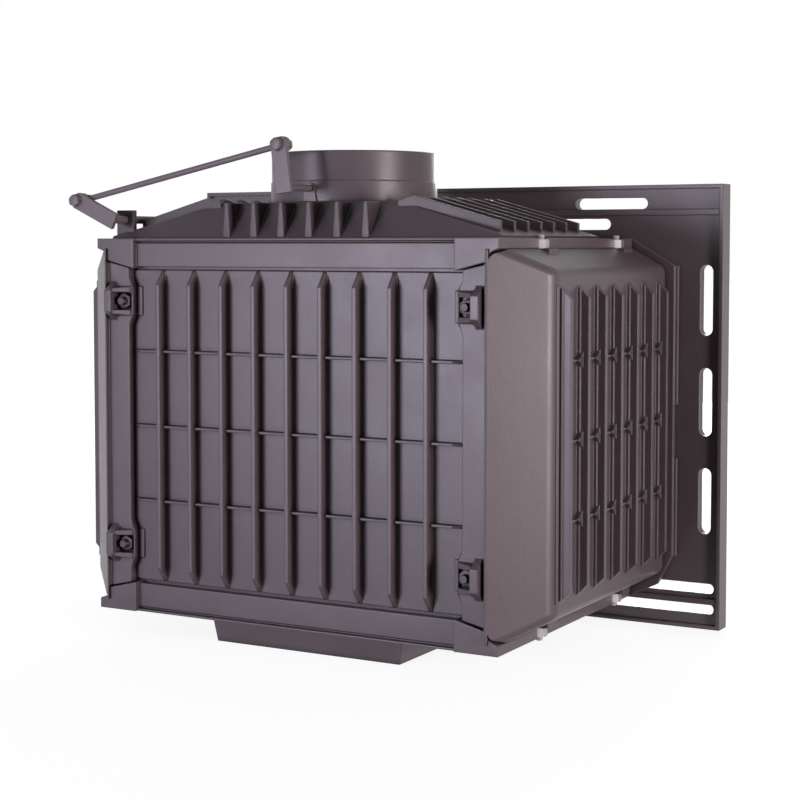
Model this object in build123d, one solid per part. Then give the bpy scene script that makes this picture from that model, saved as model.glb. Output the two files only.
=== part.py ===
from build123d import *
import os
from math import atan2, cos, degrees, hypot, pi, sin

# Cast-iron fireplace insert, in millimetres.
# x = 0 is the centre plane, y = 0 the flue axis, z = 0 the hearth under the ash box.
# The door side faces -Y, the ribbed back faces +Y; left is -X and right is +X.

# Body box between the two end plates
body_width = 544
body_height = 454
body_rear = 156
body_front = 236
plate_thickness = 12
front_wall_thickness = 8
case_wall = 8

# Ash box and its sliding pan
ash_box_width = 264
ash_box_depth = 34.5
ash_box_rear = 118
ash_box_wall = 6
ash_box_floor = 5
ash_box_draft = 5
pan_wall = 2.5
pan_length = 330
pan_side_gap = 0.8
seat_gap = 0.3
drawer_front_width = 256
drawer_front_bottom = 2.5
drawer_front_top = 44
drawer_front_thickness = 6
pull_length = 96
pull_spacing = 76
pull_bar_radius = 5
pull_post_radius = 4
pull_reach = 28

# Rear lips of the end plates
corner_block_width = 54
corner_block_inner_depth = 36
corner_block_mid_depth = 26
corner_block_mid_in = 13
corner_block_notch_depth = 15
corner_block_notch_in = 8
corner_block_length = 18
band_recess = 7
band_depth = 34
band_thickness = 6
lit_lip_height = 3
lit_lip_reach = 3
groove_height = 2.5
groove_depth = 2.5

# Openings of the end plates
smoke_opening_width = 400
smoke_opening_length = 200
grate_opening_width = 200
grate_opening_length = 180
grate_centre_y = -40
grate_ledge = 8
grate_ledge_depth = 6

# Back panel and its ribs
back_panel_thickness = 10
back_panel_rear = 142
back_panel_border_step = 4
back_panel_half_width = 262
back_field_end_gap = 26
back_rib_count = 9
back_rib_pitch = 45.6
back_rib_thickness = 5
back_rib_root = 6.5
back_rib_root_height = 1.5
back_rib_point = 18
cross_rib_heights = (136.5, 228.2, 318)
cross_rib_thickness = 3
cross_rib_root = 7
cross_rib_reach = 8
cross_rib_half_length = 227
cross_rib_taper = 14

# Side panels
side_reach = 316
cheek_inner_in = 15
cheek_rear = 161
cheek_front = 104
shoulder_drop = 23.5
flange_rear = 153
flange_width = 45
flange_root = 262
cheek_round = 26
mitre_round = 13
cheek_root_round = 8
cap_flange_width = 27
block_gap = 1.5

# Ribs on the side panels
side_rib_count = 7
side_rib_first = 91
side_rib_pitch = 49
side_rib_thickness = 6.5
side_rib_root = 10.5
side_rib_step = 4
side_rib_reach = 13.5
side_rib_end_gap = 52.5
bead_offset = 9
bead_width = 3
bead_height = 2.2
trumpet_heights = (140.5, 229.5, 318.5)
trumpet_thickness = 3
trumpet_flare = 19
trumpet_reach = 8
trumpet_start = 20

# Clamps on the back: cast claw, stud and nut
clamp_in = 39
clamp_seat_depth = 6
clamp_seat_half = 10.2
clamp_pad_width = 7.7
clamp_pad_height = 35
clamp_pad_rise = 2
clamp_heights = (82.5, 378.5)
claw_height = 48
claw_crest_height = 26
claw_depth = 15
claw_outer_in = 19
claw_inner_in = 28.5
claw_arm_height = 36
claw_arm_crest = 29
claw_arm_length = 21
claw_arm_drop = 4
claw_tip_rise = 3.5
claw_slot_height = 22
bulge_reach = 6
bulge_height = 60
bulge_run = 14
stud_radius = 5
stud_reach = 8.5
stud_seat = 8
stud_centre_radius = 1.8
stud_centre_depth = 2
clamp_nut_across = 17
clamp_nut_height = 8
thread_gap = 0.02

# Tie bolts along the side edges
tie_rear = 43.5
tie_pitch = 223.2
tie_in = 2
tie_radius = 4
tie_nut_across = 16
tie_nut_height = 10.5
tie_nut_notch = 10
tie_end_reach = 5
tie_lug_length = 26
tie_lug_shift = 8
tie_lug_height = 9
tie_lug_out = 13
tie_depth = 30

# Front casting with the fire mouth
wing_reach = 328
wing_shoulder_drop = 33.5
wing_foot_rise = 55.5
wing_foot_in = 20
wing_foot_mid_rise = 18
mouth_width = 500
mouth_bottom = 86
mouth_top = 456
wing_lip_width = 4
wing_lip_thickness = 5
wing_lip_gap_low = 214
wing_lip_gap_high = 281

# Slotted facade frame
frame_half_width = 387.7
frame_height = 556
frame_depth = 26
frame_plate = 14
frame_rear_rim = 6
frame_rim_width = 5
frame_bead_width = 8
frame_step = 3
frame_step_width = 10
frame_rib_from_edge = 31
frame_rib_width = 7
frame_rib_depth = 5
window_half_width = 266
window_bottom = 72
window_top = 470
window_bead = 10
top_slot_first = 16
top_slot_pitch = 26
top_slot_margin = 20
top_slot_outer = (101, 200)
top_slot_second = (151, 268)
top_slot_middle = 167
top_slot_boss_gap = 6
slot_height = 14
side_slot_in = 14.3
side_slot_width = 16.5
side_slots_from_top = ((100, 188), (228.5, 314), (354, 437))
low_slot_rows = (18, 44)
low_slot_height = 12.5
low_slot_end = 9.5
low_slot_drawer_gap = 29
low_slot_upper_length = 147
pad_width = 30
pad_from_window = 29
pad_heights = (120, 420)
frame_bolt_radius = 4
frame_bolt_across = 13
frame_bolt_head = 5.3
frame_bolt_length = 22

# Hood over the smoke opening
hood_width = 530
hood_half_length = 136
hood_flange_height = 3
hood_height = 42.5
hood_top_half_width = 121.5
hood_top_half_length = 104
hood_wall = 8
gusset_count = 6
gusset_pitch = 38
gusset_foot = 10
gusset_tip = 3.8
hood_rib_count = 7
hood_rib_pitch = 35.5
hood_rib_thickness = 5
hood_rib_height = 11.5
hood_rib_ramp = 20
hood_rib_end_in = 14
hood_rib_short_in = 26

# Flue collar
flue_radius = 100
flue_wall = 8
collar_height = 60
pipe_reach = 35
pipe_stop = 1.2
collar_lip = 8
collar_lip_wall = 4
collar_lip_gap = 0.1

# Damper: flap on its axle, crank, rod, control lever and shaft
axle_height = 15.5
axle_radius = 4
axle_front_in = 3
running_gap = 0.05
boss_radius = 7.3
boss_foot_width = 19.6
boss_reach = 3
flap_gap = 4
flap_thickness = 5
flap_hub_radius = 9
flap_hub_length = 150
flap_screw_radius = 2
flap_screw_spacing = 90
flap_screw_across = 7
flap_screw_head = 2.8
crank_end_x = 6.5
crank_end_rise = 48.8
crank_tip_width = 20
crank_foot_width = 21.4
crank_foot_length = 6.8
crank_tip_length = 7.5
lever_thickness = 6
lever_seat_wall = 1.4
rod_plane = 149.7
rod_radius = 3.6
rod_eye_radius = 9.5
rod_eye_thickness = 7.6
rod_open_hole_radius = 6
side_gap = 0.5
pivot_radius = 4
pivot_across = 13
pivot_head = 5.3
pivot_flange_radius = 8.2
pivot_flange = 1.2
pivot_nut = 6.5
shaft_x = 249.5
shaft_rise = 23
shaft_radius = 4.8
control_end_x = 51
control_end_rise = 23.3
control_width = 20
control_foot_length = 6.6
control_tip_length = 6.5
lug_width = 25
lug_rear = 130
lug_thickness = 7
lug_top_over = 11.5
frame_boss_radius = 11
shaft_front_reach = 20
knob_radius = 17
knob_length = 18
knob_wing_width = 9
knob_wing_length = 42
knob_wing_depth = 9
knob_screw_radius = 2

# Door
door_gap = 4
door_front = 266
door_rear = 242
glass_opening_in = 57
glass_opening_low = 52
glass_opening_top = 42
glass_overlap = 8
glass_rebate_gap = 1
glass_rebate_depth = 10
glass_thickness = 4
glass_tape = 1.7
door_bevel = 7
rope_width = 8
rope_in = 3
clip_in = 60
clip_length = 40
clip_width = 20
clip_thickness = 2.5
clip_screw_radius = 2.5
clip_screw_depth = 12
clip_screw_across = 8
clip_screw_head = 3.5
air_slot_count = 6
air_slot_pitch = 44
air_slot_width = 20
air_slot_height = 7
air_slot_above = 20
rail_half_length = 176
slider_half_length = 148
slider_height = 19.4
slider_thickness = 3
rail_width = 4
rail_reach = 6.2
rail_lip = 3
rail_lip_thickness = 2.4
slider_knob_post_radius = 4
slider_knob_post_length = 10
slider_knob_radius = 8
slider_knob_length = 9

# Hinges
hinge_side_out = 4
hinge_front_out = 8
hinge_heights = (140, 380)
knuckle_radius = 7.5
knuckle_height = 20
hinge_pin_radius = 4
hinge_pin_head_radius = 6
hinge_pin_head = 3
hinge_leaf = 6

# Door handle and latch
handle_in = 26
handle_z = 275
handle_radius = 5
handle_hub_radius = 11
handle_hub_length = 12
handle_hub_gap = 6
handle_arm_width = 14
handle_arm_length = 55
handle_elbow_height = 14
grip_gap = 24
grip_radius = 11
grip_length = 80
cam_length = 26
cam_half_width = 7
cam_thickness = 6
cam_gap = 2
cam_nut_across = 13
cam_nut_height = 5
catch_thickness = 3

# Lining, baffle, grate and log bar
lining_thickness = 25
lining_top = 405
side_lining_gap = 0.5
side_lining_front = 200
baffle_thickness = 20
baffle_front = 112
baffle_half_width = 262
grate_thickness = 10
grate_bar_pitch = 20
grate_slot_width = 9
grate_rim = 12
grate_fit = 0.5
log_bar_half_length = 196
log_bar_front = 214
log_bar_thickness = 8
log_bar_bottom = 60
log_bar_top = 104
log_foot_width = 26
log_foot_length = 22
log_foot_x = 150

# Places worked out from the driving dimensions
half_width = body_width / 2
body_bottom = ash_box_depth
body_top = body_bottom + body_height
body_middle = body_bottom + body_height / 2
floor_z = body_bottom + plate_thickness
ceiling_z = body_top - plate_thickness
wall_front = -body_front
wall_rear = wall_front + front_wall_thickness
frame_front = wall_front - frame_depth
panel_front = back_panel_rear - back_panel_thickness
cheek_inner = half_width - cheek_inner_in
hood_top = body_top + hood_height
axle_z = hood_top + axle_height
shaft_z = body_top + shaft_rise
collar_top = hood_top + collar_height
flue_inner = flue_radius - flue_wall
band_face = body_rear - band_recess
clamp_seat = flange_rear - clamp_seat_depth
block_inner = half_width - corner_block_width
lever_front = rod_plane + rod_eye_thickness / 2 + side_gap
lever_rear = lever_front + lever_thickness
lever_seat_end = lever_rear - lever_seat_wall
nut_rear = rod_plane - rod_eye_thickness / 2 - side_gap
door_half_width = window_half_width - door_gap
door_bottom = window_bottom + door_gap
door_top = window_top - door_gap
hinge_x = -(window_half_width + hinge_side_out)
hinge_y = frame_front - hinge_front_out
handle_x = door_half_width - handle_in
ash_half = ash_box_width / 2
drawer_hole_half = ash_half - ash_box_wall


def block(x0, x1, y0, y1, z0, z1):
    """Box between two corners."""
    middle = Pos((x0 + x1) / 2, (y0 + y1) / 2, (z0 + z1) / 2)
    return middle * Box(x1 - x0, y1 - y0, z1 - z0)


def ring_y(x_half, z0, z1, width, y0, y1):
    """Upright rectangular ring, its outer edge given, its band inwards."""
    outer = block(-x_half, x_half, y0, y1, z0, z1)
    return outer - block(-x_half + width, x_half - width, y0 - 1, y1 + 1, z0 + width, z1 - width)


def rod_x(y, z, radius, x0, x1):
    """Round bar along X."""
    return Pos((x0 + x1) / 2, y, z) * Rot(0, 90, 0) * Cylinder(radius, x1 - x0)


def rod_y(x, z, radius, y0, y1):
    """Round bar along Y."""
    return Pos(x, (y0 + y1) / 2, z) * Rot(90, 0, 0) * Cylinder(radius, y1 - y0)


def rod_z(x, y, radius, z0, z1):
    """Round bar along Z."""
    return Pos(x, y, (z0 + z1) / 2) * Cylinder(radius, z1 - z0)


def hexagon(across):
    """Corner points of a hexagon, from its width across the flats."""
    corner = across / 2 / cos(pi / 6)
    return [(corner * cos(pi / 3 * turn), corner * sin(pi / 3 * turn)) for turn in range(6)]


def hex_y(x, z, across, y0, y1):
    """Hexagonal bar along Y."""
    return plate_xz([(x + a, z + b) for a, b in hexagon(across)], y0, y1)


def hex_z(x, y, across, z0, z1):
    """Hexagonal bar along Z."""
    return plate_xy([(x + b, y + a) for a, b in hexagon(across)], z0, z1)


def plate_xy(points, z0, z1):
    """Outline of (x, y) points, filled from z0 to z1."""
    outline = Polyline([(x, y, z0) for x, y in points], close=True)
    return extrude(make_face(outline), z1 - z0, dir=(0, 0, 1))


def plate_xz(points, y0, y1):
    """Outline of (x, z) points, filled from y0 to y1."""
    outline = Polyline([(x, y0, z) for x, z in points], close=True)
    return extrude(make_face(outline), y1 - y0, dir=(0, 1, 0))


def plate_yz(points, x0, x1):
    """Outline of (y, z) points, filled from x0 to x1."""
    outline = Polyline([(x0, y, z) for y, z in points], close=True)
    return extrude(make_face(outline), x1 - x0, dir=(1, 0, 0))


def slot_x(x0, x1, z, height, y0, y1):
    """Cutter for a slot along X with round ends."""
    end = height / 2
    middle = block(x0 + end, x1 - end, y0, y1, z - end, z + end)
    return middle + rod_y(x0 + end, z, end, y0, y1) + rod_y(x1 - end, z, end, y0, y1)


def slot_z(x, width, z0, z1, y0, y1):
    """Cutter for a slot along Z with round ends."""
    end = width / 2
    middle = block(x - end, x + end, y0, y1, z0 + end, z1 - end)
    return middle + rod_y(x, z0 + end, end, y0, y1) + rod_y(x, z1 - end, end, y0, y1)


def other_side(shape):
    """The same shape on the other side of the centre plane."""
    return mirror(shape, Plane.YZ)


def both_sides(shape):
    """The shape and its mirror image across the centre plane."""
    return shape + other_side(shape)


def upside_down(shape):
    """The same shape mirrored about the middle height of the body."""
    return mirror(shape, Plane.XY.offset(body_middle))


def both_ends(shape):
    """The shape and its mirror image about the middle height of the body."""
    return shape + upside_down(shape)


def group(solids):
    """Separate solids kept together as one node."""
    return Compound(children=[solid for piece in solids for solid in piece.solids()])


def save(name, shape):
    """Write one node."""
    export_step(shape, f"parts/{name}.step")


# End plates: a slab with a rear lip, which ends in a proud block at each corner

def corner_block(ease):
    """Rear corner block of the top plate on the right, grown by ease all round."""
    side = half_width
    rear = body_rear + ease
    front = body_rear - corner_block_length
    top = body_top
    inner_low = (block_inner - ease, top - corner_block_inner_depth - ease)
    inner_top = (block_inner - ease, top)
    outer_top = (side + ease, top)
    outer_low = (side + ease, top - plate_thickness - ease)
    notch = (side - corner_block_notch_in + ease, top - corner_block_notch_depth - ease)
    middle = (side - corner_block_mid_in + ease, top - corner_block_mid_depth - ease)
    hollow = ((notch[0] + middle[0]) / 2 - 2, (notch[1] + middle[1]) / 2 + 1)
    edges = Polyline([(x, front, z) for x, z in (middle, inner_low, inner_top, outer_top, outer_low, notch)])
    curve = ThreePointArc(*[(x, front, z) for x, z in (notch, hollow, middle)])
    return extrude(make_face(edges + curve), rear - front, dir=(0, 1, 0))


def tie_places():
    """Centres of the tie bolts on the right side."""
    return [(half_width - tie_in, tie_rear - tie_pitch * row) for row in range(2)]


def end_plate():
    """Slab with rear band, thin top lip, groove and corner blocks, in the top plate's place."""
    slab = block(-half_width, half_width, wall_rear, band_face, ceiling_z, body_top)
    low = body_top - band_depth
    slab += block(-block_inner, block_inner, band_face - band_thickness, band_face, low, ceiling_z)
    lip_low = body_top - lit_lip_height
    slab += block(-block_inner, block_inner, band_face, band_face + lit_lip_reach, lip_low, body_top)
    groove_low = lip_low - groove_height
    slab -= block(-block_inner, block_inner, band_face - groove_depth, band_face + 1, groove_low, lip_low)
    slab += both_sides(corner_block(0))
    for x, y in tie_places():
        slab -= both_sides(rod_z(x, y, tie_nut_notch, ceiling_z - 1, body_top + 1))
    return slab


smoke_opening = block(-smoke_opening_width / 2, smoke_opening_width / 2, -smoke_opening_length / 2,
                      smoke_opening_length / 2, ceiling_z - 1, body_top + 1)
save("top_plate", end_plate() - smoke_opening)

grate_half_x = grate_opening_width / 2
grate_front = grate_centre_y - grate_opening_length / 2
grate_rear = grate_centre_y + grate_opening_length / 2
base_plate = upside_down(end_plate())
base_plate -= block(-grate_half_x, grate_half_x, grate_front, grate_rear, body_bottom - 1, floor_z + 1)
ledge_z = floor_z - grate_ledge_depth
base_plate -= block(-grate_half_x - grate_ledge, grate_half_x + grate_ledge, grate_front - grate_ledge,
                    grate_rear + grate_ledge, ledge_z, floor_z + 1)
save("base_plate", base_plate)


# Back panel: flat casting with nine upright ribs and three low cross ribs

field_bottom = floor_z + back_field_end_gap
field_top = ceiling_z - back_field_end_gap


def back_panel_shape():
    """Panel with a thinner border that runs behind the lips of the end plates."""
    step = back_panel_rear - back_panel_border_step
    edge = back_panel_half_width
    panel = block(-edge, edge, panel_front, step, floor_z, ceiling_z)
    panel += block(-edge, edge, step, back_panel_rear, field_bottom, field_top)
    root = back_panel_rear - 1
    rear = body_rear
    half = back_rib_thickness / 2
    base = back_rib_root / 2
    foot = back_panel_rear + back_rib_root_height
    side_view = plate_yz([(root, field_top), (rear, field_top - back_rib_point),
                          (rear, field_bottom + back_rib_point), (root, field_bottom)], -half_width, half_width)
    for number in range(back_rib_count):
        x = (number - (back_rib_count - 1) / 2) * back_rib_pitch
        section = [(x - base, root), (x + base, root), (x + half, foot), (x + half, rear),
                   (x - half, rear), (x - half, foot)]
        panel += plate_xy(section, field_bottom, field_top) & side_view
    long_half = cross_rib_half_length
    top_view = plate_xy([(-long_half, root), (long_half, root), (long_half - cross_rib_taper, root + cross_rib_reach),
                         (-long_half + cross_rib_taper, root + cross_rib_reach)], field_bottom, field_top)
    for height in cross_rib_heights:
        z = body_bottom + height
        half = cross_rib_thickness / 2
        base = cross_rib_root / 2
        reach = root + cross_rib_reach
        section = [(root, z - base), (root, z + base), (root + 3, z + half), (reach, z + half),
                   (reach, z - half), (root + 3, z - half)]
        panel += plate_yz(section, -long_half, long_half) & top_view
    return panel


def clamp_places():
    """Centres of the clamps on the right half of the back."""
    return [(half_width - clamp_in, body_bottom + height) for height in clamp_heights]


back_panel = back_panel_shape()
for clamp_x, clamp_z in clamp_places():
    pad_far = half_width - flange_width - bulge_reach - seat_gap
    pad = block(pad_far - clamp_pad_width, pad_far, back_panel_rear - 1, back_panel_rear + clamp_pad_rise,
                clamp_z - clamp_pad_height / 2, clamp_z + clamp_pad_height / 2)
    seat = rod_y(clamp_x, clamp_z, stud_radius + thread_gap, back_panel_rear - stud_seat, back_panel_rear + 1)
    back_panel += both_sides(pad)
    back_panel -= both_sides(seat)
save("back_panel", back_panel)


# Side panels: a dished casting with a rounded cheek at the back and seven upright ribs

def side_envelope(open_x, front_y, inset):
    """Filled shape of the dish on the right, shrunk by inset."""
    plan = Polyline([(open_x, front_y, 0), (side_reach, front_y, 0), (side_reach, cheek_front, 0),
                     (cheek_inner, cheek_rear, 0), (open_x, cheek_rear, 0)], close=True)
    low = floor_z + shoulder_drop
    high = ceiling_z - shoulder_drop
    view = Polyline([(open_x, 0, floor_z), (half_width, 0, floor_z), (side_reach, 0, low), (side_reach, 0, high),
                     (half_width, 0, ceiling_z), (open_x, 0, ceiling_z)], close=True)
    plan_face = make_face(plan)
    view_face = make_face(view)
    if inset:
        plan_face = offset(plan_face, amount=-inset, kind=Kind.INTERSECTION)
        view_face = offset(view_face, amount=-inset, kind=Kind.INTERSECTION)
    upright = extrude(plan_face, body_top * 2, dir=(0, 0, 1))
    lengthwise = Pos(0, -body_width, 0) * extrude(view_face, body_width * 2, dir=(0, 1, 0))
    return upright & lengthwise


def bend_edges(shape):
    """The upright bend between the cheek and the side."""
    return [edge for edge in shape.edges() if edge.bounding_box().min.X > side_reach - 1
            and edge.bounding_box().size.Z > body_height / 2 and edge.bounding_box().max.Y > wall_rear + 1]


def mitre_edges(shape):
    """Edges between the cheek and the slopes above and below it."""
    chosen = []
    for edge in shape.edges():
        box = edge.bounding_box()
        if box.min.X > half_width - 1 and box.size.X > 1 and box.size.Y > 1 and box.size.Z > 1:
            chosen.append(edge)
    return chosen


def cheek_root_edges(shape):
    """The upright edge where the cheek starts beside the flange."""
    chosen = []
    for edge in shape.edges():
        box = edge.bounding_box()
        if abs(box.min.X - cheek_inner) < 0.5 and box.size.X < 0.5 and box.size.Z > body_height / 2:
            chosen.append(edge)
    return chosen


def side_rib(y):
    """One upright rib of the right side panel."""
    root = side_reach - 2
    tip = side_reach + side_rib_reach
    half = side_rib_thickness / 2
    base = side_rib_root / 2
    low = body_bottom + side_rib_end_gap
    high = body_top - side_rib_end_gap
    step = side_reach + side_rib_step
    section = [(root, y - base), (step, y - base), (step, y - half), (tip, y - half),
               (tip, y + half), (step, y + half), (step, y + base), (root, y + base)]
    ends = plate_xz([(root, low - 2), (tip, low + side_rib_reach), (tip, high - side_rib_reach), (root, high + 2)],
                    y - base, y + base)
    return plate_xy(section, low - 2, high + 2) & ends


def trumpet(y, z):
    """Short cross rib that flares out where it meets the rear face of the rib at y."""
    thin = trumpet_thickness / 2
    wide = trumpet_flare / 2
    wall = y + side_rib_thickness / 2
    other = y + side_rib_pitch - side_rib_thickness / 2
    start = wall + trumpet_start
    x0 = side_reach - 1
    middle_y = wall + trumpet_start * 0.28
    middle_z = thin + (wide - thin) * 0.22
    upper = ThreePointArc((x0, start, z + thin), (x0, middle_y, z + middle_z), (x0, wall, z + wide))
    lower = ThreePointArc((x0, wall, z - wide), (x0, middle_y, z - middle_z), (x0, start, z - thin))
    rest = Polyline((x0, start, z - thin), (x0, other, z - thin), (x0, other, z + thin), (x0, start, z + thin))
    end = Line((x0, wall, z + wide), (x0, wall, z - wide))
    return extrude(make_face(upper + end + lower + rest), trumpet_reach, dir=(1, 0, 0))


def claw(z):
    """C-shaped claw of a clamp, open towards the middle of the back."""
    foot = flange_rear - 1
    rear = flange_rear + claw_depth
    inner = half_width - claw_inner_in
    tip = inner - claw_arm_length

    def sloped(base, crest, x0, x1):
        sides = [(foot, z - base / 2), (rear, z - crest / 2), (rear, z + crest / 2), (foot, z + base / 2)]
        return plate_yz(sides, x0, x1)

    body = sloped(claw_height, claw_crest_height, inner, half_width - claw_outer_in)
    arm_rear = rear - claw_arm_drop
    fall = plate_xy([(tip, foot), (tip, flange_rear + claw_tip_rise), (inner, arm_rear), (inner + 1, arm_rear),
                     (inner + 1, foot)], z - claw_height, z + claw_height)
    body += sloped(claw_arm_height, claw_arm_crest, tip, inner + 1) & fall
    slot = claw_slot_height / 2
    return body - block(tip - 1, inner, foot, rear + 1, z - slot, z + slot)


def flange_bulge(z):
    """Swelling of the rear flange round a clamp."""
    edge = half_width - flange_width
    tall = bulge_height / 2
    points = [(edge + 2, z - tall), (edge, z - tall), (edge - bulge_reach, z - tall + bulge_run),
              (edge - bulge_reach, z + tall - bulge_run), (edge, z + tall), (edge + 2, z + tall)]
    return plate_xz(points, back_panel_rear, flange_rear)


def side_panel():
    """Right side panel."""
    shell = side_envelope(half_width - cap_flange_width, wall_rear, 0)
    shell = fillet(bend_edges(shell), cheek_round)
    shell = fillet(mitre_edges(shell), mitre_round)
    shell = fillet(cheek_root_edges(shell), cheek_root_round)
    shell -= side_envelope(0, wall_rear - 4 * case_wall, case_wall)
    shell -= block(0, cheek_inner, back_panel_rear, cheek_rear + 1, floor_z - 1, ceiling_z + 1)
    shell -= block(0, back_panel_half_width + seat_gap, panel_front, back_panel_rear, floor_z - 1, ceiling_z + 1)
    edge = half_width - flange_width
    shell += block(edge, flange_root, back_panel_rear, flange_rear, floor_z, ceiling_z)
    for x, z in clamp_places():
        shell += flange_bulge(z)
        shell += claw(z)
        shell -= block(x - clamp_seat_half, half_width - claw_inner_in, clamp_seat, flange_rear + 1,
                       z - claw_slot_height / 2, z + claw_slot_height / 2)
        shell -= rod_y(x, z, stud_radius + thread_gap, panel_front, flange_rear + 1)
    shell -= both_ends(corner_block(block_gap))
    shell -= block(0, block_inner + 3, back_panel_rear - 1, body_rear, ceiling_z - band_depth, ceiling_z + 1)
    shell -= block(0, block_inner + 3, back_panel_rear - 1, body_rear, floor_z - 1, floor_z + band_depth)
    for number in range(side_rib_count):
        shell += side_rib(side_rib_first - number * side_rib_pitch)
    for number in range(1, side_rib_count):
        for height in trumpet_heights:
            shell += trumpet(side_rib_first - number * side_rib_pitch, body_bottom + height)
    bead_y = side_rib_first + bead_offset
    shell += block(side_reach - 1, side_reach + bead_height, bead_y - bead_width / 2, bead_y + bead_width / 2,
                   body_bottom + side_rib_end_gap, body_top - side_rib_end_gap)
    for x, y in tie_places():
        middle = y - tie_lug_shift
        lug = block(x - tie_nut_across / 2, x + tie_lug_out, middle - tie_lug_length / 2,
                    middle + tie_lug_length / 2, ceiling_z - tie_lug_height, ceiling_z)
        shell += both_ends(lug)
        shell -= both_ends(rod_z(x, y, tie_radius + thread_gap, ceiling_z - tie_depth - 1, ceiling_z + 1))
    return shell


right_panel = side_panel()
save("side_panel_right", right_panel)
save("side_panel_left", other_side(right_panel))


def stud(x, z):
    """Stud screwed into the back panel, with a centre mark in its end."""
    end = flange_rear + stud_reach
    body = rod_y(x, z, stud_radius, back_panel_rear - stud_seat, end)
    return body - rod_y(x, z, stud_centre_radius, end - stud_centre_depth, end + 1)


def clamp_nut(x, z):
    """Nut that pulls the side panel's flange onto the back panel."""
    nut = hex_y(x, z, clamp_nut_across, clamp_seat, clamp_seat + clamp_nut_height)
    return nut - rod_y(x, z, stud_radius + thread_gap, clamp_seat - 1, clamp_seat + clamp_nut_height + 1)


save("clamp_studs", group([both_sides(stud(x, z)) for x, z in clamp_places()]))
save("clamp_nuts", group([both_sides(clamp_nut(x, z)) for x, z in clamp_places()]))


def tie_bolt(x, y):
    """Bolt that hangs in the panel's lug and stands out through the nut."""
    top = ceiling_z + tie_nut_height + tie_end_reach
    shank = rod_z(x, y, tie_radius, ceiling_z - tie_depth, top)
    return shank + rod_z(x, y, tie_radius + 3, ceiling_z - tie_depth, ceiling_z - tie_depth + 4)


def tie_nut(x, y):
    """Nut in the notch of the plate's side edge."""
    nut = hex_z(x, y, tie_nut_across, ceiling_z, ceiling_z + tie_nut_height)
    return nut - rod_z(x, y, tie_radius + thread_gap, ceiling_z - 1, ceiling_z + tie_nut_height + 1)


save("tie_bolts", group([both_ends(both_sides(tie_bolt(x, y))) for x, y in tie_places()]))
save("tie_nuts", group([both_ends(both_sides(tie_nut(x, y))) for x, y in tie_places()]))


# Front casting: the body's front wall, its wings covering the ends of the side panels

def front_wall_shape():
    """Wall with cut corners, the fire mouth and the broken lip on the wings' edges."""
    foot = body_bottom + wing_foot_rise
    right = [(half_width, body_top), (wing_reach, body_top - wing_shoulder_drop), (wing_reach, foot),
             (wing_reach - wing_foot_in, body_bottom + wing_foot_mid_rise), (half_width, body_bottom)]
    outline = right + [(-x, z) for x, z in reversed(right)]
    wall = plate_xz(outline, wall_front, wall_rear)
    wall -= block(-mouth_width / 2, mouth_width / 2, wall_front - 1, wall_rear + 1, mouth_bottom, mouth_top)
    lip_rear = wall_front + wing_lip_thickness
    for low, high in ((foot, wing_lip_gap_low), (wing_lip_gap_high, body_top - wing_shoulder_drop)):
        wall += both_sides(block(wing_reach - 1, wing_reach + wing_lip_width, wall_front, lip_rear, low, high))
    return wall


def pad_places():
    """Centres of the four bolts that hold the frame to the front wall."""
    x = window_half_width + pad_from_window
    return [(side * x, z) for side in (-1, 1) for z in pad_heights]


front_wall = front_wall_shape()
for pad_x, pad_z in pad_places():
    front_wall -= rod_y(pad_x, pad_z, frame_bolt_radius + thread_gap, wall_front - 1, wall_rear + 1)
save("front_wall", front_wall)


def latch_catch():
    """Hardened strip on the wall behind the mouth's edge, which the latch cam turns behind."""
    edge = mouth_width / 2
    return block(edge + 1, edge + 21, wall_rear, wall_rear + catch_thickness - 1.5, handle_z - 30, handle_z + 30)


save("latch_catch", latch_catch())


# Facade frame: slotted plate with rims at the back and a moulded face

def top_slots():
    """Air slots above the body: staggered rows, as many as the band over the window holds."""
    edge = frame_half_width
    half = top_slot_middle / 2
    near, far = top_slot_outer
    second_near, second_far = top_slot_second
    first_row = [(near - edge, far - edge), (-half, half), (edge - far, edge - near)]
    second_row = [(second_near - edge, second_far - edge),
                  (edge - second_far, shaft_x - frame_boss_radius - top_slot_boss_gap)]
    low = window_top + top_slot_margin
    z = frame_height - top_slot_first - slot_height / 2
    cutters = []
    while z - slot_height / 2 >= low:
        for x0, x1 in first_row:
            cutters.append(slot_x(x0, x1, z, slot_height, frame_front - 1, wall_front + 1))
        first_row, second_row = second_row, first_row
        z -= top_slot_pitch
    return cutters


def side_slots():
    """Three air slots down each side."""
    x = frame_half_width - side_slot_in - side_slot_width / 2
    cutters = []
    for high, low in side_slots_from_top:
        cutter = slot_z(x, side_slot_width, frame_height - low, frame_height - high, frame_front - 1, wall_front + 1)
        cutters.append(both_sides(cutter))
    return cutters


def low_slots():
    """Air slots under the window, on both sides of the ash drawer."""
    start = frame_half_width - low_slot_end
    lower, upper = [row + low_slot_height / 2 for row in low_slot_rows]
    spans = [(drawer_hole_half + low_slot_drawer_gap, start, lower), (start - low_slot_upper_length, start, upper)]
    return [both_sides(slot_x(x0, x1, z, low_slot_height, frame_front - 1, wall_front + 1))
            for x0, x1, z in spans]


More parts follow.
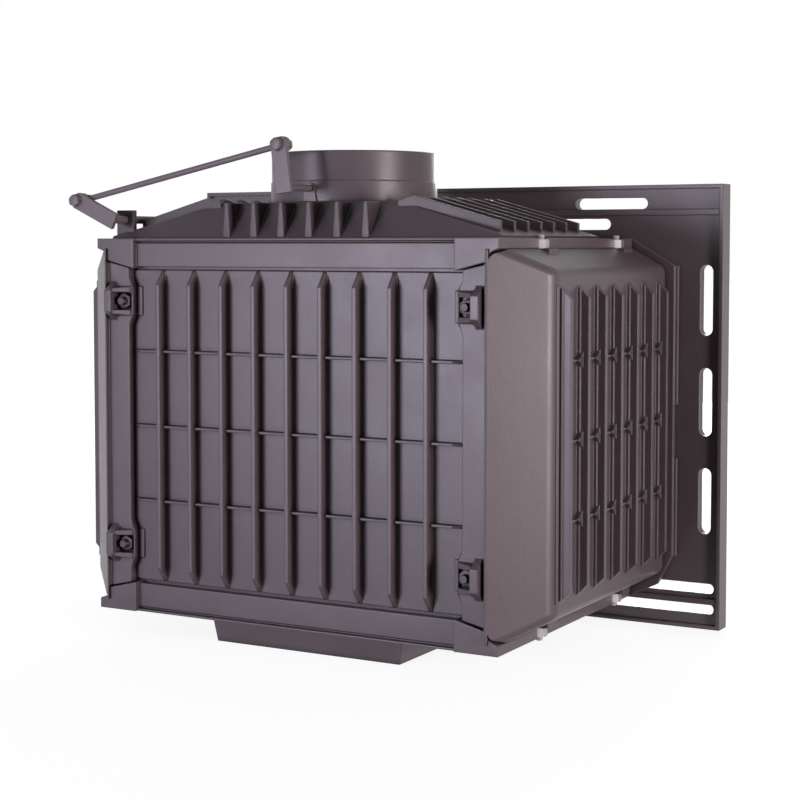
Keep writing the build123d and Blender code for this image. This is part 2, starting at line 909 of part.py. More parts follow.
def facade_frame():
    """Frame that the door sits in and that hides the gap round the insert."""
    edge = frame_half_width
    height = frame_height
    plate_rear = wall_front - frame_rear_rim
    plate_front = plate_rear - frame_plate
    rib_z = height - frame_rib_from_edge
    bead_edge = window_half_width + window_bead
    frame = block(-edge, edge, plate_front, plate_rear, 0, height)
    frame += ring_y(edge, 0, height, frame_rim_width, plate_rear, wall_front)
    rib_rear = plate_rear + frame_rib_depth
    for low in (rib_z - frame_rib_width, frame_rib_from_edge):
        frame += block(-edge, edge, plate_rear, rib_rear, low, low + frame_rib_width)
    frame += ring_y(edge, 0, height, frame_bead_width, frame_front, plate_front)
    step_front = plate_front - frame_step
    frame += block(-bead_edge - frame_step_width, bead_edge + frame_step_width, step_front, plate_front,
                   window_bottom - window_bead - frame_step_width / 2, window_top + window_bead + frame_step_width)
    frame += block(-bead_edge, bead_edge, frame_front, wall_front, window_bottom - window_bead,
                   window_top + window_bead)
    for x, z in pad_places():
        half = pad_width / 2
        frame += block(x - half, x + half, plate_rear, wall_front, z - half, z + half)
    frame += rod_y(shaft_x, shaft_z, frame_boss_radius, frame_front, wall_front)
    frame -= block(-window_half_width, window_half_width, frame_front - 1, wall_front + 1, window_bottom, window_top)
    for cutter in top_slots() + side_slots() + low_slots():
        frame -= cutter
    frame -= block(-ash_half - block_gap, ash_half + block_gap, plate_rear, wall_front + 1, -1, body_bottom)
    frame -= block(-drawer_hole_half, drawer_hole_half, frame_front - 1, wall_front + 1, ash_box_floor, body_bottom)
    frame -= rod_y(shaft_x, shaft_z, shaft_radius + running_gap, frame_front - 1, wall_front + 1)
    bolt_end = wall_rear - frame_bolt_length
    for x, z in pad_places():
        frame -= rod_y(x, z, frame_bolt_radius + thread_gap, bolt_end, wall_front + 1)
    return frame


def hinge_knuckle(z0, z1):
    """Eye round the hinge axis."""
    return rod_z(hinge_x, hinge_y, knuckle_radius, z0, z1)


def frame_hinges():
    """Lower knuckles of both hinges, on the face of the frame."""
    shapes = []
    for z in hinge_heights:
        knuckle = hinge_knuckle(z - knuckle_height, z)
        knuckle += block(hinge_x - knuckle_radius, hinge_x, hinge_y, frame_front, z - knuckle_height, z)
        shapes.append(knuckle - rod_z(hinge_x, hinge_y, hinge_pin_radius, z - knuckle_height - 1, z + 1))
    return shapes


frame_casting = facade_frame()
for knuckle in frame_hinges():
    frame_casting += knuckle
save("facade_frame", frame_casting)


def frame_bolt(x, z):
    """Bolt from inside the body through the wall into the frame's pad."""
    head = hex_y(x, z, frame_bolt_across, wall_rear, wall_rear + frame_bolt_head)
    return head + rod_y(x, z, frame_bolt_radius, wall_rear - frame_bolt_length, wall_rear)


def hinge_pin(z):
    """Pin fixed in the frame's knuckle, with the door's knuckle dropped over it."""
    top = z + seat_gap + knuckle_height + 1
    pin = rod_z(hinge_x, hinge_y, hinge_pin_radius, z - knuckle_height, top)
    return pin + rod_z(hinge_x, hinge_y, hinge_pin_head_radius, top, top + hinge_pin_head)


save("frame_bolts", group([frame_bolt(x, z) for x, z in pad_places()]))
save("hinge_pins", group([hinge_pin(z) for z in hinge_heights]))


# Ash box: tray cast under the base plate, open to the front for the pan

def ash_box_shape(half, rear, bottom, draft, top):
    """Box with walls leaning out upwards at the sides and the back."""
    front = wall_front
    view = plate_xz([(-half + draft, bottom), (half - draft, bottom), (half, top), (-half, top)], front, rear)
    side = plate_yz([(front, bottom), (rear - draft, bottom), (rear, top), (front, top)], -half, half)
    return view & side


ash_inner = ash_half - ash_box_wall - ash_box_draft
ash_box = ash_box_shape(ash_half, ash_box_rear, 0, ash_box_draft, body_bottom)
ash_box -= block(-ash_inner, ash_inner, wall_front - 1, ash_box_rear - ash_box_wall - ash_box_draft,
                 ash_box_floor, body_bottom + 1)
save("ash_box", ash_box)

pan_half = ash_inner - pan_side_gap
pan_front = frame_front - seat_gap
pan_bottom = ash_box_floor + seat_gap
pan_top = body_bottom - 2
ash_pan = block(-pan_half, pan_half, pan_front, pan_front + pan_length, pan_bottom, pan_top)
ash_pan -= block(-pan_half + pan_wall, pan_half - pan_wall, pan_front + pan_wall, pan_front + pan_length - pan_wall,
                 pan_bottom + pan_wall, pan_top + 1)
save("ash_pan", ash_pan)

drawer_face = pan_front - drawer_front_thickness
save("drawer_front", block(-drawer_front_width / 2, drawer_front_width / 2, drawer_face, pan_front,
                           drawer_front_bottom, drawer_front_top))

pull_z = (drawer_front_bottom + drawer_front_top) / 2
pull_y = drawer_face - pull_reach
drawer_pull = rod_x(pull_y, pull_z, pull_bar_radius, -pull_length / 2, pull_length / 2)
for post_x in (-pull_spacing / 2, pull_spacing / 2):
    drawer_pull += rod_y(post_x, pull_z, pull_post_radius, pull_y, drawer_face)
save("drawer_pull", drawer_pull)


# Hood: low pyramid with gussets at the back and ribs down both slopes

def hood_profile(open_z, inset):
    """Filled hood between its two slopes lengthwise and crosswise, shrunk by inset."""
    half = hood_width / 2
    knee = body_top + hood_flange_height
    across = Polyline([(-half, 0, open_z), (half, 0, open_z), (half, 0, knee), (hood_top_half_width, 0, hood_top),
                       (-hood_top_half_width, 0, hood_top), (-half, 0, knee)], close=True)
    rear = hood_half_length
    slope = (rear - hood_top_half_length) / hood_height
    foot = rear + slope * (body_top - open_z)
    along = Polyline([(0, -foot, open_z), (0, -hood_top_half_length, hood_top), (0, hood_top_half_length, hood_top),
                      (0, foot, open_z)], close=True)
    across_face = make_face(across)
    along_face = make_face(along)
    if inset:
        across_face = offset(across_face, amount=-inset, kind=Kind.INTERSECTION)
        along_face = offset(along_face, amount=-inset, kind=Kind.INTERSECTION)
    lengthwise = Pos(0, -2 * rear, 0) * extrude(across_face, 4 * rear, dir=(0, 1, 0))
    crosswise = Pos(-hood_width, 0, 0) * extrude(along_face, 2 * hood_width, dir=(1, 0, 0))
    return lengthwise & crosswise


def hood_rib(y, end_in):
    """Rib down the right slope, ramped up at its upper end."""
    half = hood_width / 2
    knee = body_top + hood_flange_height
    fall = (hood_top - knee) / (half - hood_top_half_width)

    def slope_z(x):
        return hood_top - (x - hood_top_half_width) * fall

    start = hood_top_half_width
    high = start + hood_rib_ramp
    end = half - end_in
    points = [(start, hood_top - hood_wall), (start, hood_top), (high, slope_z(high) + hood_rib_height),
              (end, slope_z(end) + hood_rib_height), (end, knee)]
    return plate_xz(points, y - hood_rib_thickness / 2, y + hood_rib_thickness / 2)


def gusset(x):
    """Triangular stiffener on the hood's rear slope, narrower at its top."""
    foot = gusset_foot / 2
    tip = gusset_tip / 2
    top = hood_top - 1
    points = [(x - foot, body_top), (x + foot, body_top), (x + tip, top), (x - tip, top)]
    return plate_xz(points, hood_top_half_length - hood_wall, hood_half_length)


def hood_shape():
    """Hood casting with the lug that carries the control shaft."""
    hood = hood_profile(body_top, 0)
    for number in range(gusset_count):
        hood += gusset((number - (gusset_count - 1) / 2) * gusset_pitch)
    for number in range(hood_rib_count):
        y = (number - (hood_rib_count - 1) / 2) * hood_rib_pitch
        hood += hood_rib(y, hood_rib_short_in)
        hood += other_side(hood_rib(y, hood_rib_end_in))
    half = lug_width / 2
    hood += block(shaft_x - half, shaft_x + half, lug_rear - lug_thickness, lug_rear, body_top,
                  shaft_z + lug_top_over)
    hood -= hood_profile(body_top - hood_height, hood_wall)
    hood -= rod_z(0, 0, flue_inner, body_top, hood_top + 1)
    return hood - rod_y(shaft_x, shaft_z, shaft_radius + running_gap, lug_rear - lug_thickness - 1, lug_rear + 1)


save("hood", hood_shape())


# Flue collar: round spigot with a lip in the hood's hole and a bearing boss front and rear

def flue_collar():
    """Collar that the flue pipe slides over."""
    collar = rod_z(0, 0, flue_radius, hood_top, collar_top)
    collar += rod_z(0, 0, flue_radius + pipe_stop, hood_top, collar_top - pipe_reach)
    reach = flue_radius + boss_reach
    foot = boss_foot_width / 2
    boss_sides = [(-foot, hood_top), (foot, hood_top), (boss_radius, axle_z), (-boss_radius, axle_z)]
    collar += plate_xz(boss_sides, -reach, reach)
    collar += rod_y(0, axle_z, boss_radius, -reach, reach)
    collar -= rod_z(0, 0, flue_inner, hood_top - 1, collar_top + 1)
    lip = rod_z(0, 0, flue_inner - collar_lip_gap, hood_top - collar_lip, hood_top + 1)
    lip += rod_z(0, 0, flue_inner + 1, hood_top, hood_top + collar_lip_wall - 1)
    collar += lip - rod_z(0, 0, flue_inner - collar_lip_wall, hood_top - collar_lip - 1, hood_top + collar_lip_wall)
    return collar - rod_y(0, axle_z, axle_radius + running_gap, -reach - 1, reach + 1)


save("flue_collar", flue_collar())


# Damper and its linkage

def flap_screw_places():
    """Centres of the two screws that hold the flap on its axle."""
    return (-flap_screw_spacing / 2, flap_screw_spacing / 2)


def damper_flap():
    """Round flap with a hub along the axle."""
    radius = flue_inner - flap_gap
    flap = rod_z(0, 0, radius, axle_z - flap_thickness / 2, axle_z + flap_thickness / 2)
    flap += rod_y(0, axle_z, flap_hub_radius, -flap_hub_length / 2, flap_hub_length / 2)
    flap -= rod_y(0, axle_z, axle_radius + thread_gap, -radius - 1, radius + 1)
    for y in flap_screw_places():
        flap -= rod_z(0, y, flap_screw_radius + thread_gap, axle_z, axle_z + flap_hub_radius + 1)
    return flap


def flap_screw(y):
    """Screw through the hub into the axle."""
    top = axle_z + flap_hub_radius
    return rod_z(0, y, flap_screw_radius, axle_z, top) + hex_z(0, y, flap_screw_across, top, top + flap_screw_head)


axle_front = axle_front_in - flue_radius - boss_reach
damper_axle = rod_y(0, axle_z, axle_radius, axle_front, lever_seat_end)
for screw_y in flap_screw_places():
    damper_axle -= rod_z(0, screw_y, flap_screw_radius + thread_gap, axle_z, axle_z + axle_radius + 1)
save("damper_axle", damper_axle)
save("damper_flap", damper_flap())
save("flap_screws", group([flap_screw(y) for y in flap_screw_places()]))


def lever(x, z, end_x, end_rise, foot_width, tip_width, foot_length, tip_length, axle_hole):
    """Flat lever from a shaft at (x, z) to a pivot at its far end, square at both ends."""
    length = hypot(end_x, end_rise)
    along = (end_x / length, end_rise / length)
    aside = (-along[1], along[0])

    def place(distance, offset_width):
        return (x + along[0] * distance + aside[0] * offset_width, z + along[1] * distance + aside[1] * offset_width)

    foot = foot_width / 2
    tip = tip_width / 2
    bevel = tip * 0.5
    far = length + tip_length
    outline = [place(-foot_length, -foot), place(far - bevel, -tip), place(far, -tip + bevel),
               place(far, tip - bevel), place(far - bevel, tip), place(-foot_length, foot)]
    plate = plate_xz(outline, lever_front, lever_rear)
    plate -= rod_y(x, z, axle_hole, lever_front - 1, lever_seat_end)
    return plate - rod_y(x + end_x, z + end_rise, pivot_radius + thread_gap, lever_front - 1, lever_rear + 1)


def pivot_bolt(x, z):
    """Flanged hex bolt through the lever, which carries a rod eye in front of it."""
    flange_end = lever_rear + pivot_flange
    bolt = rod_y(x, z, pivot_radius, nut_rear - pivot_nut - 1, lever_rear)
    bolt += rod_y(x, z, pivot_flange_radius, lever_rear, flange_end)
    return bolt + hex_y(x, z, pivot_across, flange_end, flange_end + pivot_head)


def pivot_nut_shape(x, z):
    """Nut in front of the rod eye."""
    nut = hex_y(x, z, pivot_across, nut_rear - pivot_nut, nut_rear)
    return nut - rod_y(x, z, pivot_radius + thread_gap, nut_rear - pivot_nut - 1, nut_rear + 1)


crank_x = crank_end_x
crank_z = axle_z + crank_end_rise
control_x = shaft_x + control_end_x
control_z = shaft_z + control_end_rise
save("damper_crank", lever(0, axle_z, crank_end_x, crank_end_rise, crank_foot_width, crank_tip_width,
                           crank_foot_length, crank_tip_length, axle_radius + thread_gap))
save("crank_bolt", pivot_bolt(crank_x, crank_z))
save("crank_nut", pivot_nut_shape(crank_x, crank_z))
save("control_lever", lever(shaft_x, shaft_z, control_end_x, control_end_rise, control_width, control_width,
                            control_foot_length, control_tip_length, shaft_radius + thread_gap))
save("control_bolt", pivot_bolt(control_x, control_z))
save("control_nut", pivot_nut_shape(control_x, control_z))


def link_rod():
    """Round rod with an eye at each end; the crank's eye has play, so the lever and crank never bind."""
    run_x = control_x - crank_x
    run_z = control_z - crank_z
    length = hypot(run_x, run_z)
    tilt = degrees(atan2(run_x, run_z))
    middle = Pos((crank_x + control_x) / 2, rod_plane, (crank_z + control_z) / 2)
    rod = middle * Rot(0, tilt, 0) * Cylinder(rod_radius, length - rod_eye_radius)
    eye_front = rod_plane - rod_eye_thickness / 2
    eye_rear = rod_plane + rod_eye_thickness / 2
    rod += rod_y(crank_x, crank_z, rod_eye_radius, eye_front, eye_rear)
    rod += rod_y(control_x, control_z, rod_eye_radius, eye_front, eye_rear)
    rod -= rod_y(crank_x, crank_z, rod_open_hole_radius, eye_front - 1, eye_rear + 1)
    return rod - rod_y(control_x, control_z, pivot_radius + running_gap, eye_front - 1, eye_rear + 1)


save("link_rod", link_rod())

shaft_front = frame_front - shaft_front_reach
save("control_shaft", rod_y(shaft_x, shaft_z, shaft_radius, shaft_front + 5, lever_seat_end))


def control_knob():
    """Round knob with a finger wing across its face."""
    rear = frame_front - side_gap
    face = rear - knob_length
    knob = rod_y(shaft_x, shaft_z, knob_radius, face, rear)
    wing = knob_wing_length / 2
    knob += block(shaft_x - wing, shaft_x + wing, face - knob_wing_depth, face + 2, shaft_z - knob_wing_width / 2,
                  shaft_z + knob_wing_width / 2)
    knob -= rod_y(shaft_x, shaft_z, shaft_radius + thread_gap, shaft_front + 5, rear + 1)
    middle = (face + rear) / 2
    return knob - rod_z(shaft_x, middle, knob_screw_radius + thread_gap, shaft_z, shaft_z + knob_radius + 1)


save("control_knob", control_knob())
knob_middle = frame_front - side_gap - knob_length / 2
save("knob_screw", rod_z(shaft_x, knob_middle, knob_screw_radius, shaft_z + shaft_radius, shaft_z + knob_radius - 1))


# Door: cast frame, glass, seals, clips, hinge knuckles and air slots

glass_half = door_half_width - glass_opening_in
glass_low = door_bottom + glass_opening_low
glass_high = door_top - glass_opening_top
air_z = door_bottom + air_slot_above


def air_slot_places():
    """Centres of the air slots along the lower rail."""
    return [(number - (air_slot_count - 1) / 2) * air_slot_pitch for number in range(air_slot_count)]


def air_guide(side):
    """Rail above or below the slider, with a lip over the slider's edge."""
    gap = slider_height / 2 + seat_gap
    near = air_z + side * gap
    far = air_z + side * (gap + rail_width)
    low, high = sorted((near, far))
    guide = block(-rail_half_length, rail_half_length, -door_front - rail_reach, -door_front + 1, low, high)
    lip_low, lip_high = sorted((air_z + side * (gap - rail_lip), far))
    lip_rear = -door_front - rail_reach + rail_lip_thickness
    return guide + block(-rail_half_length, rail_half_length, -door_front - rail_reach, lip_rear, lip_low, lip_high)


def door_knuckle(z):
    """Upper knuckle of one hinge with the leaf that joins it to the door."""
    low = z + seat_gap
    knuckle = hinge_knuckle(low, low + knuckle_height)
    leaf_front = hinge_y - hinge_leaf / 2
    knuckle += block(hinge_x, -door_half_width + 14, leaf_front, leaf_front + hinge_leaf, low, low + knuckle_height)
    knuckle += block(-door_half_width, -door_half_width + 14, leaf_front, -door_front + 1, low, low + knuckle_height)
    return knuckle - rod_z(hinge_x, hinge_y, hinge_pin_radius + running_gap, low - 1, low + knuckle_height + 1)


def glass_clip_places():
    """Centres of the four clips behind the glass."""
    x = glass_half + glass_overlap
    return [(side * x, z) for side in (-1, 1) for z in (glass_low + clip_in, glass_high - clip_in)]


def clip_screw_x(x):
    """The screw sits on the door side of its clip."""
    return x + (clip_length / 4 if x > 0 else -clip_length / 4)


def door_frame():
    """Cast door frame."""
    door = block(-door_half_width, door_half_width, -door_front, -door_rear, door_bottom, door_top)
    opening = block(-glass_half, glass_half, -door_front - 1, -door_rear + 1, glass_low, glass_high)
    door -= opening
    edges = [edge for edge in door.edges() if abs(edge.center().Y + door_front) < 0.01
             and abs(edge.center().X) < glass_half + 1 and glass_low - 1 < edge.center().Z < glass_high + 1]
    door = chamfer(edges, door_bevel)
    over = glass_overlap + glass_rebate_gap
    door -= block(-glass_half - over, glass_half + over, -door_rear - glass_rebate_depth, -door_rear + 1,
                  glass_low - over, glass_high + over)
    door += air_guide(1)
    door += air_guide(-1)
    for x in air_slot_places():
        door -= block(x - air_slot_width / 2, x + air_slot_width / 2, -door_front - 1, -door_rear + 1,
                      air_z - air_slot_height / 2, air_z + air_slot_height / 2)
    for z in hinge_heights:
        door += door_knuckle(z)
    for x, z in glass_clip_places():
        door -= rod_y(clip_screw_x(x), z, clip_screw_radius + thread_gap, -door_rear - clip_screw_depth, -door_rear + 1)
    return door - rod_y(handle_x, handle_z, handle_radius + running_gap, -door_front - 1, -door_rear + 1)


save("door_frame", door_frame())

tape_front = -door_rear - glass_rebate_depth
glass_front = tape_front + glass_tape
glass_rear = glass_front + glass_thickness
glass_edge = glass_half + glass_overlap
save("door_glass", block(-glass_edge, glass_edge, glass_front, glass_rear, glass_low - glass_overlap,
                         glass_high + glass_overlap))
save("glass_tape", ring_y(glass_edge, glass_low - glass_overlap, glass_high + glass_overlap, glass_overlap,
                          tape_front, glass_front))
rope_edge = door_half_width - rope_in
save("door_rope", ring_y(rope_edge, door_bottom + rope_in, door_top - rope_in, rope_width,
                         -door_rear, wall_front - seat_gap))


def glass_clip(x, z):
    """Bent spring clip: one end on the door, the other on the glass."""
    half = clip_width / 2
    inner, outer = sorted((x, x + (clip_length / 2 if x > 0 else -clip_length / 2)))
    clip = block(inner, outer, -door_rear, -door_rear + clip_thickness, z - half, z + half)
    over = glass_overlap + glass_rebate_gap
    near, far = sorted((x - (over if x > 0 else -over), x + (1 if x > 0 else -1)))
    clip += block(near, far, glass_rear, -door_rear + clip_thickness, z - half, z + half)
    return clip - rod_y(clip_screw_x(x), z, clip_screw_radius + thread_gap, -door_rear - 1, -door_rear + 5)


def clip_screw(x, z):
    """Screw that holds a glass clip to the door."""
    seat = -door_rear + clip_thickness
    screw = rod_y(clip_screw_x(x), z, clip_screw_radius, -door_rear - clip_screw_depth + 1, seat)
    return screw + hex_y(clip_screw_x(x), z, clip_screw_across, seat, seat + clip_screw_head)


save("glass_clips", group([glass_clip(x, z) for x, z in glass_clip_places()]))
save("clip_screws", group([clip_screw(x, z) for x, z in glass_clip_places()]))


def air_slider():
    """Slotted strip that opens and closes the door's air slots."""
    rear = -door_front - seat_gap
    front = rear - slider_thickness
    strip = block(-slider_half_length, slider_half_length, front, rear, air_z - slider_height / 2,
                  air_z + slider_height / 2)
    for x in air_slot_places():
        strip -= block(x - air_slot_width / 2, x + air_slot_width / 2, front - 1, rear + 1,
                       air_z - air_slot_height / 2, air_z + air_slot_height / 2)
    return strip


save("air_slider", air_slider())
slider_front = -door_front - seat_gap - slider_thickness
knob_root = slider_front - slider_knob_post_length
slider_knob = rod_y(0, air_z, slider_knob_post_radius, knob_root, slider_front)
slider_knob += rod_y(0, air_z, slider_knob_radius, knob_root - slider_knob_length, knob_root)
save("slider_knob", slider_knob)


# Door handle: shaft through the door, arm and grip in front, cam behind

hub_rear = -door_front - handle_hub_gap
hub_front = hub_rear - handle_hub_length
cam_front = wall_rear + cam_gap
cam_rear = cam_front + cam_thickness
shaft_end = cam_rear + cam_nut_height
save("handle_shaft", rod_y(handle_x, handle_z, handle_radius, hub_front + 2, shaft_end))

arm_half = handle_arm_width / 2
arm_end = handle_z - handle_arm_length
grip_y = -door_front - grip_gap - grip_radius
elbow_front = grip_y - grip_radius * 0.7
handle_arm = rod_y(handle_x, handle_z, handle_hub_radius, hub_front, hub_rear)
handle_arm += block(handle_x - arm_half, handle_x + arm_half, hub_front, hub_rear, arm_end, handle_z)
handle_arm += block(handle_x - arm_half, handle_x + arm_half, elbow_front, hub_rear,
                    arm_end, arm_end + handle_elbow_height)
handle_arm -= rod_y(handle_x, handle_z, handle_radius + thread_gap, hub_front + 2, hub_rear + 1)
save("handle_arm", handle_arm)

grip_end = arm_end - grip_length
handle_grip = rod_z(handle_x, grip_y, grip_radius, grip_end, arm_end)
handle_grip = fillet(handle_grip.edges(), 4)
save("handle_grip", handle_grip)

latch_cam = rod_y(handle_x, handle_z, cam_half_width + 3, cam_front, cam_rear)
latch_cam += block(handle_x - cam_half_width, handle_x + cam_half_width, cam_front, cam_rear,
                   handle_z - cam_length, handle_z)
latch_cam -= rod_y(handle_x, handle_z, handle_radius + thread_gap, cam_front - 1, cam_rear + 1)
save("latch_cam", latch_cam)
cam_nut = hex_y(handle_x, handle_z, cam_nut_across, cam_rear, cam_rear + cam_nut_height)
save("cam_nut", cam_nut - rod_y(handle_x, handle_z, handle_radius + thread_gap, cam_rear - 1, shaft_end + 1))


# Inside of the firebox: lining, baffle, grate and log bar

lining_outer = half_width - cap_flange_width - side_lining_gap
lining_inner = lining_outer - lining_thickness
lining_front = panel_front - lining_thickness
save("back_lining", block(-lining_inner, lining_inner, lining_front, panel_front, floor_z, lining_top))
side_lining = block(lining_inner, lining_outer, -side_lining_front, panel_front,
                    floor_z, lining_top)
save("side_lining_right", side_lining)
save("side_lining_left", other_side(side_lining))
save("baffle_plate", block(-baffle_half_width, baffle_half_width, -baffle_front, panel_front,
                           lining_top, lining_top + baffle_thickness))


def grate():
    """Slotted grate on the ledge of the base plate."""
    half_x = grate_half_x + grate_ledge - grate_fit
    front = grate_front - grate_ledge + grate_fit
    rear = grate_rear + grate_ledge - grate_fit
    plate = block(-half_x, half_x, front, rear, ledge_z, ledge_z + grate_thickness)
    count = int((2 * (half_x - grate_rim) - grate_slot_width) // grate_bar_pitch) + 1
    for number in range(count):
        x = (number - (count - 1) / 2) * grate_bar_pitch
        plate -= block(x - grate_slot_width / 2, x + grate_slot_width / 2, front + grate_rim, rear - grate_rim,
                       ledge_z - 1, ledge_z + grate_thickness + 1)
    return plate


save("grate", grate())


def log_bar():
    """Low bar across the mouth that keeps logs off the glass, on two feet."""
    rear = -log_bar_front + log_bar_thickness
    bar = block(-log_bar_half_length, log_bar_half_length, -log_bar_front, rear, log_bar_bottom, log_bar_top)
    half = log_foot_width / 2
    for x in (-log_foot_x, log_foot_x):
        bar += block(x - half, x + half, -log_bar_front, rear + log_foot_length, floor_z, log_bar_bottom)
    return bar


save("log_bar", log_bar())
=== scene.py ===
import math

import bmesh
import bpy
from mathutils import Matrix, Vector


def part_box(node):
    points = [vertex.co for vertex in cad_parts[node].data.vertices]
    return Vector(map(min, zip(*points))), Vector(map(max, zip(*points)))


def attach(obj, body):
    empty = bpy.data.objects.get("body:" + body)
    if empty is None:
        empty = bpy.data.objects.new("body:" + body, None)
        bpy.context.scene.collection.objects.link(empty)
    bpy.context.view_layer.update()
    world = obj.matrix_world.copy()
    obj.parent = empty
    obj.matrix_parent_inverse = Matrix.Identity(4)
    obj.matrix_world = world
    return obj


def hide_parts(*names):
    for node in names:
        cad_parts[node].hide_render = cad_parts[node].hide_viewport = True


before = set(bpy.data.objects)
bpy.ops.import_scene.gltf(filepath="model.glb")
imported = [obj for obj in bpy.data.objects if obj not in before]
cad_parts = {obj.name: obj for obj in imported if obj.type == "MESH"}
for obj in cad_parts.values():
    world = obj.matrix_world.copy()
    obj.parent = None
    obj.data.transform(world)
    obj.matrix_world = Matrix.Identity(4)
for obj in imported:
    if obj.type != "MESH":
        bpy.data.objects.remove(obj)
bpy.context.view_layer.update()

# The studio: a pale floor that keeps the insert's shadow, a white surround, three soft
# lamps and the camera, which stands behind the insert on its left side.

CAMERA_PLACE = (-1.0888, 1.8325, 0.4795)
CAMERA_TURN = 29.219
CAMERA_DIP = 3.226
LENS = 78.34
SHIFT = -0.07
FLOOR_SIZE = 40.0
FLOOR_GREY = (0.32, 0.32, 0.32)
FLOOR_GLOW = 0.86
SHADOW_REACH = (0.7, 2.2)
WORLD_LIGHT = 0.02
MIDDLE = (0, 0, 0.3)

turn = math.radians(CAMERA_TURN)
dip = math.radians(CAMERA_DIP)
aim = Vector((math.sin(turn) * math.cos(dip), -math.cos(turn) * math.cos(dip), -math.sin(dip)))
camera = bpy.data.objects.new("camera", bpy.data.cameras.new("camera"))
bpy.context.scene.collection.objects.link(camera)
camera.location = CAMERA_PLACE
camera.rotation_euler = aim.to_track_quat("-Z", "Y").to_euler()
camera.data.lens = LENS
camera.data.shift_y = SHIFT
camera.data.clip_end = 100.0
bpy.context.scene.camera = camera
bpy.context.scene.view_settings.view_transform = "Standard"


def add(tree, kind, sockets=None, **settings):
    """Adds a node, sets it, and gives its inputs values or links."""
    made = tree.nodes.new(kind)
    for name, value in settings.items():
        setattr(made, name, value)
    for key, value in (sockets or {}).items():
        if isinstance(value, bpy.types.NodeSocket):
            tree.links.new(value, made.inputs[key])
        else:
            made.inputs[key].default_value = value
    return made


def reckon(tree, operation, *values, **settings):
    """Result of one sum on values that change over the surface."""
    return add(tree, "ShaderNodeMath", dict(enumerate(values)), operation=operation, **settings).outputs[0]


def spread_out(tree, value, low, high, start=0.0, end=1.0):
    """Stretches a value that runs from low to high so that it runs from start to end."""
    bounds = {"Value": value, "From Min": low, "From Max": high, "To Min": start, "To Max": end}
    return add(tree, "ShaderNodeMapRange", bounds).outputs[0]


def seen_rays(tree):
    """Mask that is 1 for the rays that show the surround: straight, mirrored and through glass."""
    rays = add(tree, "ShaderNodeLightPath").outputs
    straight = reckon(tree, "MAXIMUM", rays["Is Camera Ray"], rays["Is Transmission Ray"])
    return reckon(tree, "MAXIMUM", straight, rays["Is Glossy Ray"])


def new_material(name):
    """New material with its node tree and its main shader."""
    material = bpy.data.materials.new(name)
    material.use_nodes = True
    return material, material.node_tree, material.node_tree.nodes["Principled BSDF"]


def shown(name, data):
    """New object in the scene."""
    made = bpy.data.objects.new(name, data)
    bpy.context.scene.collection.objects.link(made)
    return made


def surround():
    """White world for the eye, a softer one for the light."""
    world = bpy.data.worlds.new("surround")
    world.use_nodes = True
    tree = world.node_tree
    tree.nodes.clear()
    seen = add(tree, "ShaderNodeBackground", {"Color": (1, 1, 1, 1), "Strength": 1.0})
    light = add(tree, "ShaderNodeBackground", {"Color": (0.97, 0.96, 1, 1), "Strength": WORLD_LIGHT})
    mix = add(tree, "ShaderNodeMixShader", {"Fac": seen_rays(tree), 1: light.outputs[0], 2: seen.outputs[0]})
    add(tree, "ShaderNodeOutputWorld", {"Surface": mix.outputs[0]})
    bpy.context.scene.world = world


def studio_floor():
    """Pale floor under the insert; to the eye it glows up to white and still takes the shadow."""
    material, tree, matt = new_material("studio_floor")
    matt.inputs["Base Color"].default_value = (*FLOOR_GREY, 1)
    matt.inputs["Roughness"].default_value = 0.9
    place = add(tree, "ShaderNodeTexCoord").outputs["Object"]
    away = add(tree, "ShaderNodeVectorMath", {0: place}, operation="LENGTH")
    fade = spread_out(tree, away.outputs["Value"], *SHADOW_REACH, FLOOR_GLOW)
    glow = add(tree, "ShaderNodeEmission", {"Color": (1, 1, 1, 1), "Strength": fade})
    both = add(tree, "ShaderNodeAddShader", {0: matt.outputs[0], 1: glow.outputs[0]})
    mix = add(tree, "ShaderNodeMixShader", {"Fac": seen_rays(tree), 1: matt.outputs[0], 2: both.outputs[0]})
    tree.links.new(mix.outputs[0], tree.nodes["Material Output"].inputs["Surface"])
    half = FLOOR_SIZE / 2
    mesh = bpy.data.meshes.new("studio_floor")
    corners = [(-half, -half, 0), (half, -half, 0), (half, half, 0), (-half, half, 0)]
    mesh.from_pydata(corners, [], [(0, 1, 2, 3)])
    mesh.materials.append(material)
    shown("studio_floor", mesh)


def lamp(name, place, width, height, power, color):
    """Soft box that looks at the middle of the insert."""
    data = bpy.data.lights.new(name, "AREA")
    data.shape = "RECTANGLE"
    data.size = width
    data.size_y = height
    data.energy = power
    data.color = color
    lit = shown(name, data)
    lit.location = place
    lit.rotation_euler = (Vector(MIDDLE) - Vector(place)).to_track_quat("-Z", "Y").to_euler()


surround()
studio_floor()
lamp("lamp_back", (1.05, 2.95, 0.4), 1.1, 0.7, 88, (0.87, 0.83, 1.0))
lamp("lamp_side", (-2.98, 0.72, 0.25), 0.6, 0.9, 116, (1.0, 0.89, 0.91))
lamp("lamp_front", (0.8, -3.2, 0.6), 1.6, 1.2, 60, (1, 1, 1))

# Castings of the fire room: sand-cast grey iron under warm dark stove paint. Plates, cheeks and
# front are cast apart, fettled round their edges and drawn together by bolts and clamps.

